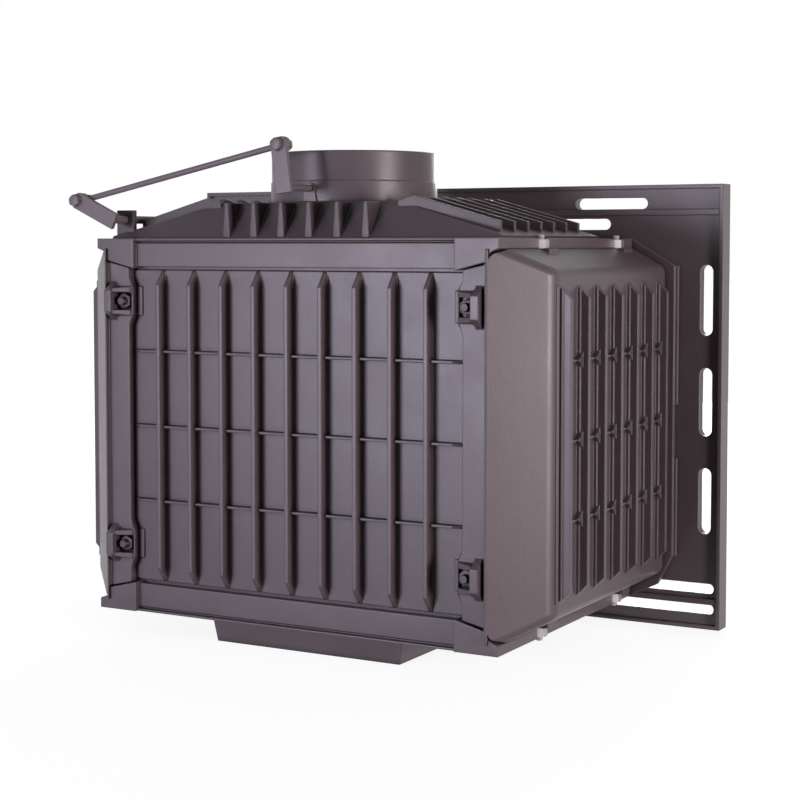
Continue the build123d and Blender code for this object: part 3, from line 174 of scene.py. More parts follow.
IRON_PAINT = (0.068, 0.053, 0.059)
IRON_ROUGHNESS = 0.37
IRON_SHEEN = 0.3
# Edge colour: bare iron where paint wears thin, and a painted highlight along the outer edges.
BARE_IRON_AND_HIGHLIGHT = (0.24, 0.21, 0.21)
FIRE_DUST = (0.23, 0.21, 0.20)
EDGE_LIMIT = math.radians(20)
CRISP_ANGLE = math.radians(28)
PLATE_ANGLE = math.radians(7)
FINE_EDGE = 0.0004
THIN_EDGE = 0.0006
BOLD_EDGE = 0.0012
CASTING_EDGES = {"base_plate": 0.0008, "top_plate": 0.0008, "side_panel_left": 0.0007,
                 "side_panel_right": 0.0007, "front_wall": 0.0008, "ash_box": BOLD_EDGE}


def effect_group(name, inputs, outputs):
    """Shader node group with named inputs and outputs."""
    tree = bpy.data.node_groups.new(name, "ShaderNodeTree")
    for label, value in inputs.items():
        kind = "NodeSocketColor" if isinstance(value, tuple) else "NodeSocketFloat"
        tree.interface.new_socket(label, in_out="INPUT", socket_type=kind).default_value = value
    for label in outputs:
        kind = "NodeSocketVector" if label == "Rounded" else "NodeSocketFloat"
        tree.interface.new_socket(label, in_out="OUTPUT", socket_type=kind)
    return tree, add(tree, "NodeGroupInput").outputs


def cast_skin_group():
    """Sand grain of a casting under paint: a height for the bump and a slow change of tone."""
    tree, given = effect_group("cast_skin", {"Grain": 700.0, "Patch": 14.0}, ("Height", "Tone"))
    place = add(tree, "ShaderNodeTexCoord").outputs["Object"]
    grain = add(tree, "ShaderNodeTexNoise", {"Vector": place, "Scale": given["Grain"], "Detail": 4.0,
                                             "Roughness": 0.6})
    coarser = reckon(tree, "MULTIPLY", given["Grain"], 0.3)
    pits = add(tree, "ShaderNodeTexVoronoi", {"Vector": place, "Scale": coarser}, feature="SMOOTH_F1")
    bumps = reckon(tree, "MULTIPLY_ADD", pits.outputs["Distance"], 0.5, grain.outputs["Fac"])
    patch = add(tree, "ShaderNodeTexNoise", {"Vector": place, "Scale": given["Patch"], "Detail": 5.0,
                                             "Roughness": 0.65})
    tone = spread_out(tree, patch.outputs["Fac"], 0.3, 0.7)
    add(tree, "NodeGroupOutput", {"Height": bumps, "Tone": tone})
    return tree


def edge_wear_and_shade_group():
    """Masks of outer edges, where paint wears thin and a painted highlight lightens them, and of inner
    corners, where shade is painted in, and the normal of edges that the foundry's sand has left soft."""
    tree, given = effect_group("edge_wear_and_shade", {"Width": 0.0016, "Patch": 120.0, "Reach": 0.008},
                               ("Edge", "Corner", "Rounded"))
    place = add(tree, "ShaderNodeTexCoord").outputs["Object"]
    flat = add(tree, "ShaderNodeNewGeometry").outputs["Normal"]
    rounded = add(tree, "ShaderNodeBevel", {"Radius": given["Width"]}, samples=6)
    same = add(tree, "ShaderNodeVectorMath", {0: rounded.outputs[0], 1: flat}, operation="DOT_PRODUCT")
    bent = spread_out(tree, same.outputs["Value"], 0.995, 0.86)
    near = add(tree, "ShaderNodeAmbientOcclusion", {"Distance": given["Reach"]}, samples=6)
    open_air = spread_out(tree, near.outputs["AO"], 0.75, 0.95)
    patch = add(tree, "ShaderNodeTexNoise", {"Vector": place, "Scale": given["Patch"], "Detail": 3.0})
    spots = spread_out(tree, patch.outputs["Fac"], 0.38, 0.62)
    # Edge mask: outer edges, lightened later as worn paint and as a painted highlight.
    edge = reckon(tree, "MULTIPLY", reckon(tree, "MULTIPLY", bent, open_air), spots)
    # Corner mask: painted shade, strongest where the occlusion finds little open air round the point.
    corner_shade = spread_out(tree, near.outputs["AO"], 0.9, 0.35)
    add(tree, "NodeGroupOutput", {"Edge": edge, "Corner": corner_shade, "Rounded": rounded.outputs[0]})
    return tree


def settled_dust_group():
    """Mask of the dust that lies on surfaces that face up."""
    tree, given = effect_group("settled_dust", {"Amount": 0.5, "Patch": 40.0}, ("Mask",))
    place = add(tree, "ShaderNodeTexCoord").outputs["Object"]
    facing = add(tree, "ShaderNodeSeparateXYZ", {0: add(tree, "ShaderNodeNewGeometry").outputs["Normal"]})
    up = spread_out(tree, facing.outputs["Z"], 0.45, 0.95)
    cloud = add(tree, "ShaderNodeTexNoise", {"Vector": place, "Scale": given["Patch"], "Detail": 6.0})
    lies = spread_out(tree, cloud.outputs["Fac"], 0.3, 0.75)
    mask = reckon(tree, "MULTIPLY", reckon(tree, "MULTIPLY", up, lies), given["Amount"])
    add(tree, "NodeGroupOutput", {"Mask": mask})
    return tree


cast_skin = cast_skin_group()
edge_wear_and_shade = edge_wear_and_shade_group()
settled_dust = settled_dust_group()


def blend(tree, amount, first, second):
    """Mix of two colours or sockets by a mask."""
    mix = add(tree, "ShaderNodeMix", {"Factor": amount}, data_type="RGBA")
    for slot, value in ((6, first), (7, second)):
        if isinstance(value, bpy.types.NodeSocket):
            tree.links.new(value, mix.inputs[slot])
        else:
            mix.inputs[slot].default_value = (*value, 1)
    return mix.outputs[2]


def scaled(color, factor):
    return tuple(channel * factor for channel in color)


def weigh(tree, mask, amount):
    return reckon(tree, "MULTIPLY", mask, amount)


def grained(tree, shader, skin, depth, **sockets):
    """Gives a shader the skin's height as a bump."""
    bump = add(tree, "ShaderNodeBump", {"Height": skin, "Distance": depth, "Strength": 1.0, **sockets})
    tree.links.new(bump.outputs[0], shader.inputs["Normal"])


def painted_iron(name, color, roughness, wear_and_highlight, corner_shade_amount, dust, grain=700.0, depth=0.00012):
    """Painted or bare iron casting with grain, worn and highlighted edges, painted shade in corners, and
    dust.
    """
    material, tree, shader = new_material(name)
    skin = add(tree, "ShaderNodeGroup", node_tree=cast_skin)
    skin.inputs["Grain"].default_value = grain
    edge_and_shade = add(tree, "ShaderNodeGroup", node_tree=edge_wear_and_shade)
    lying = add(tree, "ShaderNodeGroup", node_tree=settled_dust)
    lying.inputs["Amount"].default_value = dust
    paint = blend(tree, skin.outputs["Tone"], scaled(color, 0.9), scaled(color, 1.1))
    # Painted shade: the paint darkens in inner corners and creases by the corner mask.
    paint = blend(tree, weigh(tree, edge_and_shade.outputs["Corner"], corner_shade_amount), paint, scaled(color, 0.2))
    # Outer edges lighten towards bare iron: partly worn paint, partly a painted highlight.
    paint = blend(tree, weigh(tree, edge_and_shade.outputs["Edge"], wear_and_highlight), paint, BARE_IRON_AND_HIGHLIGHT)
    paint = blend(tree, lying.outputs["Mask"], paint, FIRE_DUST)
    tree.links.new(paint, shader.inputs["Base Color"])
    rough = spread_out(tree, skin.outputs["Tone"], 0.0, 1.0, roughness - 0.04, roughness + 0.05)
    rougher = reckon(tree, "MULTIPLY_ADD", lying.outputs["Mask"], 0.4, rough, use_clamp=True)
    tree.links.new(rougher, shader.inputs["Roughness"])
    shader.inputs["Specular IOR Level"].default_value = IRON_SHEEN
    grained(tree, shader, skin.outputs["Height"], depth, Normal=edge_and_shade.outputs["Rounded"])
    return material


def merged(node):
    """Copy of a CAD node's mesh whose loose triangles are joined, as a bmesh."""
    work = bmesh.new()
    work.from_mesh(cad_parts[node].data)
    bmesh.ops.remove_doubles(work, verts=work.verts, dist=1e-6)
    return work


def piece_of(name, work):
    """New object at the origin with a bmesh's faces, smooth."""
    for face in work.faces:
        face.smooth = True
    mesh = bpy.data.meshes.new(name)
    work.to_mesh(mesh)
    work.free()
    return shown(name, mesh)


def round_edges(piece, edge):
    """Rounds a piece's edges and lets its large faces keep their flat shading."""
    bevel = piece.modifiers.new("edge", "BEVEL")
    bevel.width = edge
    bevel.segments = 2
    bevel.limit_method = "ANGLE"
    bevel.angle_limit = EDGE_LIMIT
    bevel.use_clamp_overlap = False
    weight = piece.modifiers.new("shading", "WEIGHTED_NORMAL")
    weight.weight = 50
    return piece


def crisp(piece, angle=CRISP_ANGLE):
    """Keeps a piece's edges sharp where they turn by more than an angle."""
    piece.data.set_sharp_from_angle(angle=angle)
    return piece


def settle(piece, material, body, slot, *nodes):
    """Gives a piece its material, its body and the CAD nodes that it stands for; its slot is not used."""
    piece.data.materials.clear()
    piece.data.materials.append(material)
    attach(piece, body)
    if nodes:
        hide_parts(*nodes)


def finished_copy(node, edge, material, body, slot):
    """Copy of a CAD solid, its edges rounded or left crisp, which stands for it."""
    piece = piece_of(node + "_made", merged(node))
    settle(round_edges(piece, edge) if edge else crisp(piece, PLATE_ANGLE), material, body, slot, node)


body_iron = painted_iron("body_iron", IRON_PAINT, IRON_ROUGHNESS, 0.5, 0.9, 0.04, 1200.0, 0.0001)
for node, edge in CASTING_EDGES.items():
    finished_copy(node, edge, body_iron, "insert_body", "body_iron")

# Back panel: a flat casting that closes the fire room at the back. Nine tapered upright ribs
# and three low cross ribs stiffen it; a thinner border runs behind the lips of the end plates.

PANEL_HALF = 0.262
PANEL_Y = (0.132, 0.138, 0.142)
PANEL_Z = (0.0465, 0.4765)
FIELD_Z = (0.0725, 0.4505)
CLAMP_PLACES = (0.117, 0.413)
PAD = (0.2133, 0.221, 0.144, 0.0175)
RIB_REAR = 0.156
RIB_HALF = 0.0025
RIB_POINT = 0.018
RIB_COUNT = 9
RIB_PITCH = 0.0456
RIB_FOOT = 0.0008
RIB_CROWN = 0.0005
CROSS_HEIGHTS = (0.171, 0.2627, 0.3525)
CROSS_HALF = 0.0015
CROSS_REACH = 0.008
CROSS_LENGTH = 0.227
CROSS_TAPER = 0.014
ARC_STEPS = 5
PLATE_EDGE = 0.0007


def add_box(work, low, high):
    """Adds a closed box between two corners to a bmesh."""
    made = bmesh.ops.create_cube(work, size=1.0)["verts"]
    for vert in made:
        vert.co = Vector([low[i] if vert.co[i] < 0 else high[i] for i in range(3)])


def loft(work, loops):
    """Skins closed loops of points one after another, and closes both ends."""
    rings = [[work.verts.new(point) for point in loop] for loop in loops]
    count = len(rings[0])
    for first, second in zip(rings, rings[1:]):
        for i in range(count):
            work.faces.new((first[i], first[(i + 1) % count], second[(i + 1) % count], second[i]))
    work.faces.new(list(reversed(rings[0])))
    work.faces.new(rings[-1])
    bmesh.ops.recalc_face_normals(work, faces=work.faces)


def arc(middle, radius, start, end, steps=ARC_STEPS):
    """Points of a circular arc, from one angle to another in degrees."""
    return [(middle[0] + radius * math.cos(math.radians(start + (end - start) * i / steps)),
             middle[1] + radius * math.sin(math.radians(start + (end - start) * i / steps)))
            for i in range(steps + 1)]


def rib_section(half, rise):
    """Half of a rib's section: a hollow fillet at the foot, a straight flank and a rounded crown."""
    fillet = arc((half + RIB_FOOT, RIB_FOOT), RIB_FOOT, 270, 180)
    crown = arc((half - RIB_CROWN, rise - RIB_CROWN), RIB_CROWN, 0, 90)
    return fillet + crown


def rib_loop(half, rise, scale):
    """Closed section of a rib, pressed down towards the plate by scale."""
    right = [(x, y * scale) for x, y in rib_section(half, rise)]
    sunk = RIB_FOOT / 2
    foot = [(-right[0][0], -sunk), (right[0][0], -sunk)]
    return foot + right + [(-x, y) for x, y in reversed(right)]


def rib_shape(name, half, rise, stations, upright):
    """One rib: its section at several places along its length."""
    work = bmesh.new()
    loops = []
    for along, scale in stations:
        section = rib_loop(half, rise, scale)
        if upright:
            loops.append([(x, PANEL_Y[2] + y, along) for x, y in section])
        else:
            loops.append([(along, PANEL_Y[2] + y, x) for x, y in section])
    loft(work, loops)
    return piece_of(name, work)


def recipe(name, inputs):
    """Geometry tree with named inputs; the points it works on come in first."""
    tree = bpy.data.node_groups.new(name, "GeometryNodeTree")
    tree.interface.new_socket("Points", in_out="INPUT", socket_type="NodeSocketGeometry")
    for label, kind in inputs.items():
        tree.interface.new_socket(label, in_out="INPUT", socket_type="NodeSocket" + kind)
    tree.interface.new_socket("Mesh", in_out="OUTPUT", socket_type="NodeSocketGeometry")
    return tree, add(tree, "NodeGroupInput").outputs


def finish_recipe(tree, instances, material):
    """Ends a tree: real mesh in place of instances, one material."""
    real = add(tree, "GeometryNodeRealizeInstances", {0: instances})
    painted = add(tree, "GeometryNodeSetMaterial", {"Geometry": real.outputs[0], "Material": material})
    add(tree, "NodeGroupOutput", {0: painted.outputs[0]})
    return tree


def row_recipe():
    """Copies one shape along a straight row."""
    sizes = {"Shape": "Object", "Count": "Int", "Start": "Vector", "Step": "Vector", "Material": "Material"}
    tree, given = recipe("row_of_ribs", sizes)
    shape = add(tree, "GeometryNodeObjectInfo", {"Object": given["Shape"]})
    row = add(tree, "GeometryNodeMeshLine", {"Count": given["Count"], "Start Location": given["Start"],
                                             "Offset": given["Step"]}, mode="OFFSET")
    copies = add(tree, "GeometryNodeInstanceOnPoints", {"Points": row.outputs[0],
                                                        "Instance": shape.outputs["Geometry"]})
    return finish_recipe(tree, copies.outputs[0], given["Material"])


def grow(name, tree, points=None, **values):
    """Plain mesh object that a recipe makes from its named inputs."""
    piece = shown(name, points or bpy.data.meshes.new(name))
    maker = piece.modifiers.new("recipe", "NODES")
    maker.node_group = tree
    sockets = {item.name: item.identifier for item in tree.interface.items_tree if item.in_out == "INPUT"}
    for label, value in values.items():
        maker[sockets[label]] = value
    ready = piece.evaluated_get(bpy.context.evaluated_depsgraph_get())
    mesh = bpy.data.meshes.new_from_object(ready)
    piece.modifiers.remove(maker)
    piece.data = mesh
    for polygon in mesh.polygons:
        polygon.use_smooth = True
    return crisp(piece)


def used_up(shape):
    """Takes a pattern shape away once its copies are made."""
    bpy.data.objects.remove(shape)


row_of_ribs = row_recipe()
plate = bmesh.new()
add_box(plate, (-PANEL_HALF, PANEL_Y[0], PANEL_Z[0]), (PANEL_HALF, PANEL_Y[1], PANEL_Z[1]))
add_box(plate, (-PANEL_HALF, PANEL_Y[0], FIELD_Z[0]), (PANEL_HALF, PANEL_Y[2], FIELD_Z[1]))
for side in (-1, 1):
    pad_x = sorted((side * PAD[0], side * PAD[1]))
    for height in CLAMP_PLACES:
        add_box(plate, (pad_x[0], PANEL_Y[1], height - PAD[3]), (pad_x[1], PAD[2], height + PAD[3]))
PANEL_CARE = (body_iron, "insert_body", "body_iron", "back_panel")
settle(round_edges(piece_of("back_plate", plate), PLATE_EDGE), *PANEL_CARE)

rib_rise = RIB_REAR - PANEL_Y[2]
rib_ends = ((FIELD_Z[0], 0.0), (FIELD_Z[0] + RIB_POINT, 1.0), (FIELD_Z[1] - RIB_POINT, 1.0),
            (FIELD_Z[1], 0.0))
upright_rib = rib_shape("upright_rib", RIB_HALF, rib_rise, rib_ends, True)
settle(grow("back_ribs", row_of_ribs, Shape=upright_rib, Count=RIB_COUNT, Step=(RIB_PITCH, 0.0, 0.0),
            Start=(-RIB_PITCH * (RIB_COUNT - 1) / 2, 0.0, 0.0), Material=body_iron), *PANEL_CARE)
used_up(upright_rib)

cross_ends = ((-CROSS_LENGTH, 0.0), (CROSS_TAPER - CROSS_LENGTH, 1.0), (CROSS_LENGTH - CROSS_TAPER, 1.0),
              (CROSS_LENGTH, 0.0))
cross_rib = rib_shape("cross_rib", CROSS_HALF, CROSS_REACH, cross_ends, False)
settle(grow("back_cross_ribs", row_of_ribs, Shape=cross_rib, Count=len(CROSS_HEIGHTS),
            Step=(0.0, 0.0, (CROSS_HEIGHTS[-1] - CROSS_HEIGHTS[0]) / 2), Start=(0.0, 0.0, CROSS_HEIGHTS[0]),
            Material=body_iron), *PANEL_CARE)
used_up(cross_rib)

# Hood: a low pyramid cast in one piece, bolted over the smoke opening. Gussets at the back and
# ribs down both slopes carry the weight of the flue; a lug holds the control shaft.

# The hood's paint is darker than the body's, as painted shade on slopes that face away from the lamps.
HOOD_SHADED_PAINT = (0.046, 0.034, 0.039)
shaded_hood_iron = painted_iron("shaded_hood_iron", HOOD_SHADED_PAINT, 0.45, 0.4, 0.9, 0.03)
finished_copy("hood", THIN_EDGE, shaded_hood_iron, "insert_body", "body_iron")

# Flue collar: a round spigot that the flue pipe slides over, cast with an arched bearing boss
# front and rear for the damper axle and a lip that centres it in the hood.

COLLAR_PROFILE = ((0.0919, 0.523), (0.0919, 0.5895), (0.0931, 0.591), (0.0988, 0.591), (0.1, 0.5898),
                  (0.1, 0.556), (0.10115, 0.5556), (0.10115, 0.5325), (0.1016, 0.5312), (0.0917, 0.5312),
                  (0.0917, 0.5235))
COLLAR_SIDES = 128
BOSS_FOOT = 0.0098
BOSS_RADIUS = 0.0073
BOSS_Y = (0.093, 0.103)
BOSS_SEAT = 0.531
SPIGOT_EDGE = 0.0003
AXLE_Z = 0.5465


def turned_recipe():
    """Turns a profile, given as points in the XZ plane, round the Z axis."""
    tree, given = recipe("turned", {"Count": "Int", "Sides": "Int", "Material": "Material"})
    around = reckon(tree, "ADD", given["Sides"], 1.0)
    grid = add(tree, "GeometryNodeMeshGrid", {"Vertices X": around, "Vertices Y": given["Count"]})
    number = add(tree, "GeometryNodeInputIndex").outputs[0]
    row = reckon(tree, "MODULO", number, given["Count"])
    column = reckon(tree, "FLOOR", reckon(tree, "DIVIDE", number, given["Count"]))
    angle = reckon(tree, "MULTIPLY", reckon(tree, "DIVIDE", column, given["Sides"]), math.tau)
    place = add(tree, "GeometryNodeInputPosition").outputs[0]
    point = add(tree, "GeometryNodeSampleIndex", {"Geometry": given["Points"]}, data_type="FLOAT_VECTOR")
    tree.links.new(place, point.inputs["Value"])
    tree.links.new(row, point.inputs["Index"])
    turned = add(tree, "ShaderNodeVectorRotate", {"Vector": point.outputs[0], "Angle": angle},
                 rotation_type="Z_AXIS")
    moved = add(tree, "GeometryNodeSetPosition", {"Geometry": grid.outputs[0], "Position": turned.outputs[0]})
    joined = add(tree, "GeometryNodeMergeByDistance", {"Geometry": moved.outputs[0], "Distance": 1e-6})
    return finish_recipe(tree, joined.outputs[0], given["Material"])


turned = turned_recipe()


def lathe(name, profile, material, sides=48, closed=False):
    """Bmesh of a profile (radius, height) turned round the Z axis."""
    loop = list(profile) + ([profile[0]] if closed else [])
    points = bpy.data.meshes.new(name)
    points.from_pydata([(radius, 0, height) for radius, height in loop], [], [])
    piece = grow(name, turned, points, Count=len(loop), Sides=sides, Material=material)
    work = bmesh.new()
    work.from_mesh(piece.data)
    used_up(piece)
    bmesh.ops.dissolve_degenerate(work, dist=1e-7, edges=work.edges)
    bmesh.ops.recalc_face_normals(work, faces=work.faces)
    return work


def prism_y(work, outline, y0, y1):
    """Adds an upright outline, given as (x, z), drawn out from y0 to y1."""
    loft(work, [[(x, y, z) for x, z in outline] for y in (y0, y1)])


COLLAR_CARE = (body_iron, "insert_body", "body_iron", "flue_collar")
spigot = lathe("spigot", COLLAR_PROFILE, body_iron, COLLAR_SIDES, True)
settle(round_edges(piece_of("flue_spigot", spigot), SPIGOT_EDGE), *COLLAR_CARE)
bosses = bmesh.new()
arch = [(-BOSS_FOOT, BOSS_SEAT), (BOSS_FOOT, BOSS_SEAT)] + arc((0, AXLE_Z), BOSS_RADIUS, -12, 192, 16)
for side in (-1, 1):
    prism_y(bosses, arch, *sorted((side * BOSS_Y[0], side * BOSS_Y[1])))
settle(round_edges(piece_of("axle_bosses", bosses), THIN_EDGE), *COLLAR_CARE)

# Clamps on the back: a blackened stud screwed into the back panel at each claw, and a hex nut of
# the same finish on it that pulls the side panel's flange tight.

STUD_RADIUS = 0.005
THREAD_DEEP = 0.0004
STUD_PITCH = 0.0015
THREAD_SIDES = 20
THREAD_STEPS = 4
STUD_Y = (0.134, 0.1615)
CLAMP_X = 0.233
CLAMP_NUT = (0.017, 0.008, 0.147)
NUT_BEVEL = math.tan(math.radians(30))
HEX_PARTS = 6
SIXTH = math.pi / 3


def threaded_bar(radius, length, pitch, deep=THREAD_DEEP):
    """Bmesh of a bar along Z with a real spiral thread and chamfered ends."""
    work = bmesh.new()
    loops = []
    rows = max(3, round(length / pitch * THREAD_STEPS))
    for row in range(rows + 1):
        height = length * row / rows
        limit = radius - max(0.0, deep * 2 - min(height, length - height))
        loop = []
        for part in range(THREAD_SIDES):
            angle = math.tau * part / THREAD_SIDES
            wave = abs((height / pitch + part / THREAD_SIDES) % 1 - 0.5) * 2
            reach = min(limit, radius - deep * wave)
            loop.append((reach * math.cos(angle), reach * math.sin(angle), height))
        loops.append(loop)
    loft(work, loops)
    return work


def hex_body(across, height, hole=0.0, both=True):
    """Bmesh of a hexagon along Z whose corners are turned down, with a countersunk hole if given."""
    work = bmesh.new()
    flat = across / 2
    angles = [SIXTH * side + SIXTH * part / HEX_PARTS for side in range(6) for part in range(HEX_PARTS)]

    def ring(cut, level, turned_down):
        loop = []
        for angle in angles:
            reach = flat / math.cos((angle + SIXTH / 2) % SIXTH - SIXTH / 2) if not cut else cut
            drop = max(0.0, reach - flat * 0.98) * NUT_BEVEL if turned_down else 0.0
            height_here = level - drop if level else drop
            loop.append((reach * math.cos(angle), reach * math.sin(angle), height_here))
        return loop

    loops = [ring(0, 0.0, both), ring(0, height, True), ring(flat * 0.95, height, False)]
    low = ring(flat * 0.95, 0.0, False)
    if hole:
        sink = hole * 1.12
        loops += [ring(sink, height, False), [(x * hole / sink, y * hole / sink, height - sink + hole)
                                              for x, y, z in ring(sink, height, False)]]
        loops += [[(x, y, sink - hole) for x, y, z in loops[-1]], ring(sink, 0.0, False)]
        rings = [[work.verts.new(point) for point in loop] for loop in [low] + loops]
        count = len(angles)
        for first, second in zip(rings, rings[1:] + rings[:1]):
            for i in range(count):
                work.faces.new((first[i], first[(i + 1) % count], second[(i + 1) % count], second[i]))
        bmesh.ops.recalc_face_normals(work, faces=work.faces)
    else:
        loft(work, [low] + loops)
    return work


def set_out_recipe():
    """Stands a copy of one shape on every point, with a random turn about its own axis."""
    tree, given = recipe("set_out", {"Shape": "Object", "Lean": "Rotation", "Wander": "Float", "Seed": "Int",
                                     "Material": "Material"})
    shape = add(tree, "GeometryNodeObjectInfo", {"Object": given["Shape"]})
    random = add(tree, "FunctionNodeRandomValue", {"Seed": given["Seed"]}, data_type="FLOAT")
    floats = [socket for socket in random.inputs if socket.type == "VALUE" and socket.name == "Max"]
    for socket in floats:
        tree.links.new(given["Wander"], socket)
    spin = next(socket for socket in random.outputs if socket.type == "VALUE" and socket.enabled)
    turn_z = add(tree, "ShaderNodeCombineXYZ", {"Z": spin})
    about = add(tree, "FunctionNodeEulerToRotation", {0: turn_z.outputs[0]})
    both = add(tree, "FunctionNodeRotateRotation", {0: given["Lean"], 1: about.outputs[0]},
               rotation_space="LOCAL")
    copies = add(tree, "GeometryNodeInstanceOnPoints", {"Points": given["Points"],
                                                        "Instance": shape.outputs["Geometry"],
                                                        "Rotation": both.outputs[0]})
    return finish_recipe(tree, copies.outputs[0], given["Material"])


set_out = set_out_recipe()
ALONG_Y = (-math.pi / 2, 0.0, 0.0)
ALONG_MINUS_Y = (math.pi / 2, 0.0, 0.0)
UPRIGHT = (0.0, 0.0, 0.0)
UPSIDE_DOWN = (math.pi, 0.0, 0.0)


def fixed(name, work, places, lean, material, body, slot, *nodes, wander=6.28, seed=1):
    """Copies of one small part, which start at the places and point the way that lean gives."""
    shape = piece_of(name + "_pattern", work)
    points = bpy.data.meshes.new(name)
    points.from_pydata(places, [], [])
    piece = grow(name, set_out, points, Shape=shape, Lean=lean, Wander=wander, Seed=seed, Material=material)
    used_up(shape)
    settle(piece, material, body, slot, *nodes)


def plated(name, color, roughness, shade, spangle=90.0, depth=0.00002):
    """Plated or blackened steel: fine crystals in the tone, faint scratches, painted shade in the corners."""
    material, tree, shader = new_material(name)
    place = add(tree, "ShaderNodeTexCoord").outputs["Object"]
    crystal = add(tree, "ShaderNodeTexVoronoi", {"Vector": place, "Scale": spangle * 10})
    edge_and_shade = add(tree, "ShaderNodeGroup", node_tree=edge_wear_and_shade)
    skin = add(tree, "ShaderNodeGroup", node_tree=cast_skin)
    skin.inputs["Grain"].default_value = 1500.0
    fine = weigh(tree, crystal.outputs["Distance"], 0.8)
    tone = blend(tree, fine, scaled(color, 1.04), scaled(color, 0.9))
    # Painted shade: the tone darkens in inner corners by the corner mask.
    tone = blend(tree, weigh(tree, edge_and_shade.outputs["Corner"], 0.6), tone, scaled(color, 0.3))
    tone = blend(tree, weigh(tree, skin.outputs["Tone"], 0.35), tone, shade)
    tree.links.new(tone, shader.inputs["Base Color"])
    rough = spread_out(tree, skin.outputs["Tone"], 0.0, 1.0, roughness - 0.06, roughness + 0.1)
    tree.links.new(rough, shader.inputs["Roughness"])
    shader.inputs["Metallic"].default_value = 0.9
    grained(tree, shader, skin.outputs["Height"], depth)
    return material


bright_steel = plated("bright_steel", (0.42, 0.4, 0.4), 0.42, (0.3, 0.28, 0.28))
dark_hardware = plated("dark_hardware", (0.05, 0.043, 0.045), 0.5, (0.035, 0.03, 0.029))
clamp_spots = [(side * CLAMP_X, height) for side in (-1, 1) for height in CLAMP_PLACES]
DARK_FIXED = (dark_hardware, "insert_body", "dark_hardware")
fixed("clamp_studs_made", threaded_bar(STUD_RADIUS, STUD_Y[1] - STUD_Y[0], STUD_PITCH),
      [(x, STUD_Y[0], z) for x, z in clamp_spots], ALONG_Y, *DARK_FIXED, "clamp_studs")
fixed("clamp_nuts_made", hex_body(CLAMP_NUT[0], CLAMP_NUT[1], STUD_RADIUS - THREAD_DEEP),
      [(x, CLAMP_NUT[2], z) for x, z in clamp_spots], ALONG_Y, *DARK_FIXED, "clamp_nuts", wander=0.0)

# Tie bolts: plated bolts that hang in the side panels' lugs and draw the end plates onto the
# panels, with a bright nut in each notch of the plates' side edges.

TIE_X = 0.27
TIE_Y = (0.0435, -0.1797)
TIE_RADIUS = 0.004
TIE_PITCH = 0.00125
TIE_NUT = (0.016, 0.0105)
TIE_REACH = 0.0155
TIE_DEEP = 0.03
TIE_LEVELS = ((0.4765, UPRIGHT, 1), (0.0465, UPSIDE_DOWN, -1))

BRIGHT_FIXED = (bright_steel, "insert_body", "bright_steel")
for level, lean, way in TIE_LEVELS:
    end = "upper" if way > 0 else "lower"
    spots = [(side * TIE_X, y) for side in (-1, 1) for y in TIE_Y]
    fixed("tie_bolts_" + end, threaded_bar(TIE_RADIUS, TIE_REACH + TIE_DEEP, TIE_PITCH),
          [(x, y, level - way * TIE_DEEP) for x, y in spots], lean, *BRIGHT_FIXED, "tie_bolts")
    fixed("tie_nuts_" + end, hex_body(*TIE_NUT, TIE_RADIUS - THREAD_DEEP),
          [(x, y, level) for x, y in spots], lean, *BRIGHT_FIXED, "tie_nuts", wander=0.0)

# Facade frame: a heavy cast frame with slots for the warm air. Its rims stand at the back, its
# moulded face covers the gap round the insert, and four bolts hold it to the front casting.

FRAME_PAINT = (0.08, 0.064, 0.07)
FRAME_BOLT = (0.013, 0.0053, 0.004, 0.022)
FRAME_BOLT_Y = -0.228
FRAME_BOLT_PLACES = [(side * 0.295, z) for side in (-1, 1) for z in (0.12, 0.42)]

frame_iron = painted_iron("frame_iron", FRAME_PAINT, IRON_ROUGHNESS, 0.4, 0.2, 0.1, 900.0, 0.00009)
finished_copy("facade_frame", 0, frame_iron, "insert_body", "frame_iron")
frame_spots = [(x, FRAME_BOLT_Y, z) for x, z in FRAME_BOLT_PLACES]
fixed("frame_bolt_heads", hex_body(FRAME_BOLT[0], FRAME_BOLT[1], both=False), frame_spots, ALONG_Y,
      *DARK_FIXED, "frame_bolts")
fixed("frame_bolt_shanks", threaded_bar(FRAME_BOLT[2], FRAME_BOLT[3], TIE_PITCH), frame_spots, ALONG_MINUS_Y,
      *DARK_FIXED, "frame_bolts")

# Damper linkage on the back: flat steel crank and lever pressed onto their shafts, with a
# forged-eye rod between them on flanged bolts. Painted with the insert, rubbed at the pivots.

LINK_PAINT = (0.1, 0.082, 0.09)
LEVER_Y = (0.154, 0.16)
CRANK_END = (0.0065, 0.5953)
CRANK_WIDTHS = (0.0214, 0.02)
CRANK_LENGTHS = (0.0068, 0.0075)
CONTROL_ROOT = (0.2495, 0.5115)
CONTROL_END = (0.3005, 0.5348)
CONTROL_WIDTHS = (0.02, 0.02)
CONTROL_LENGTHS = (0.0066, 0.0065)
ROD_Y = 0.1497
ROD_RADIUS = 0.0036
EYE = (0.0095, 0.0038)
EYE_HOLES = (0.006, 0.0041)
NECK = (0.0065, 0.0052, 0.017)
PIVOT_RADIUS = 0.004
PIVOT_ACROSS = 0.013
PIVOT_FLANGE = ((0.0, 0.0), (0.0082, 0.0), (0.0082, 0.0006), (0.007, 0.0012), (0.0, 0.0012))
PIVOT_HEAD = 0.0053
PIVOT_NUT = 0.0065
NUT_REAR = 0.1454
AXLE_RADIUS = 0.004
SHAFT_RADIUS = 0.0048
LEVER_SEAT = 0.1586
ROD_END_CHAMFER = 0.0006
NECK_RUN = 0.004
FLANGE_THICK = PIVOT_FLANGE[-1][1]
SHANK_SPARE = 0.001


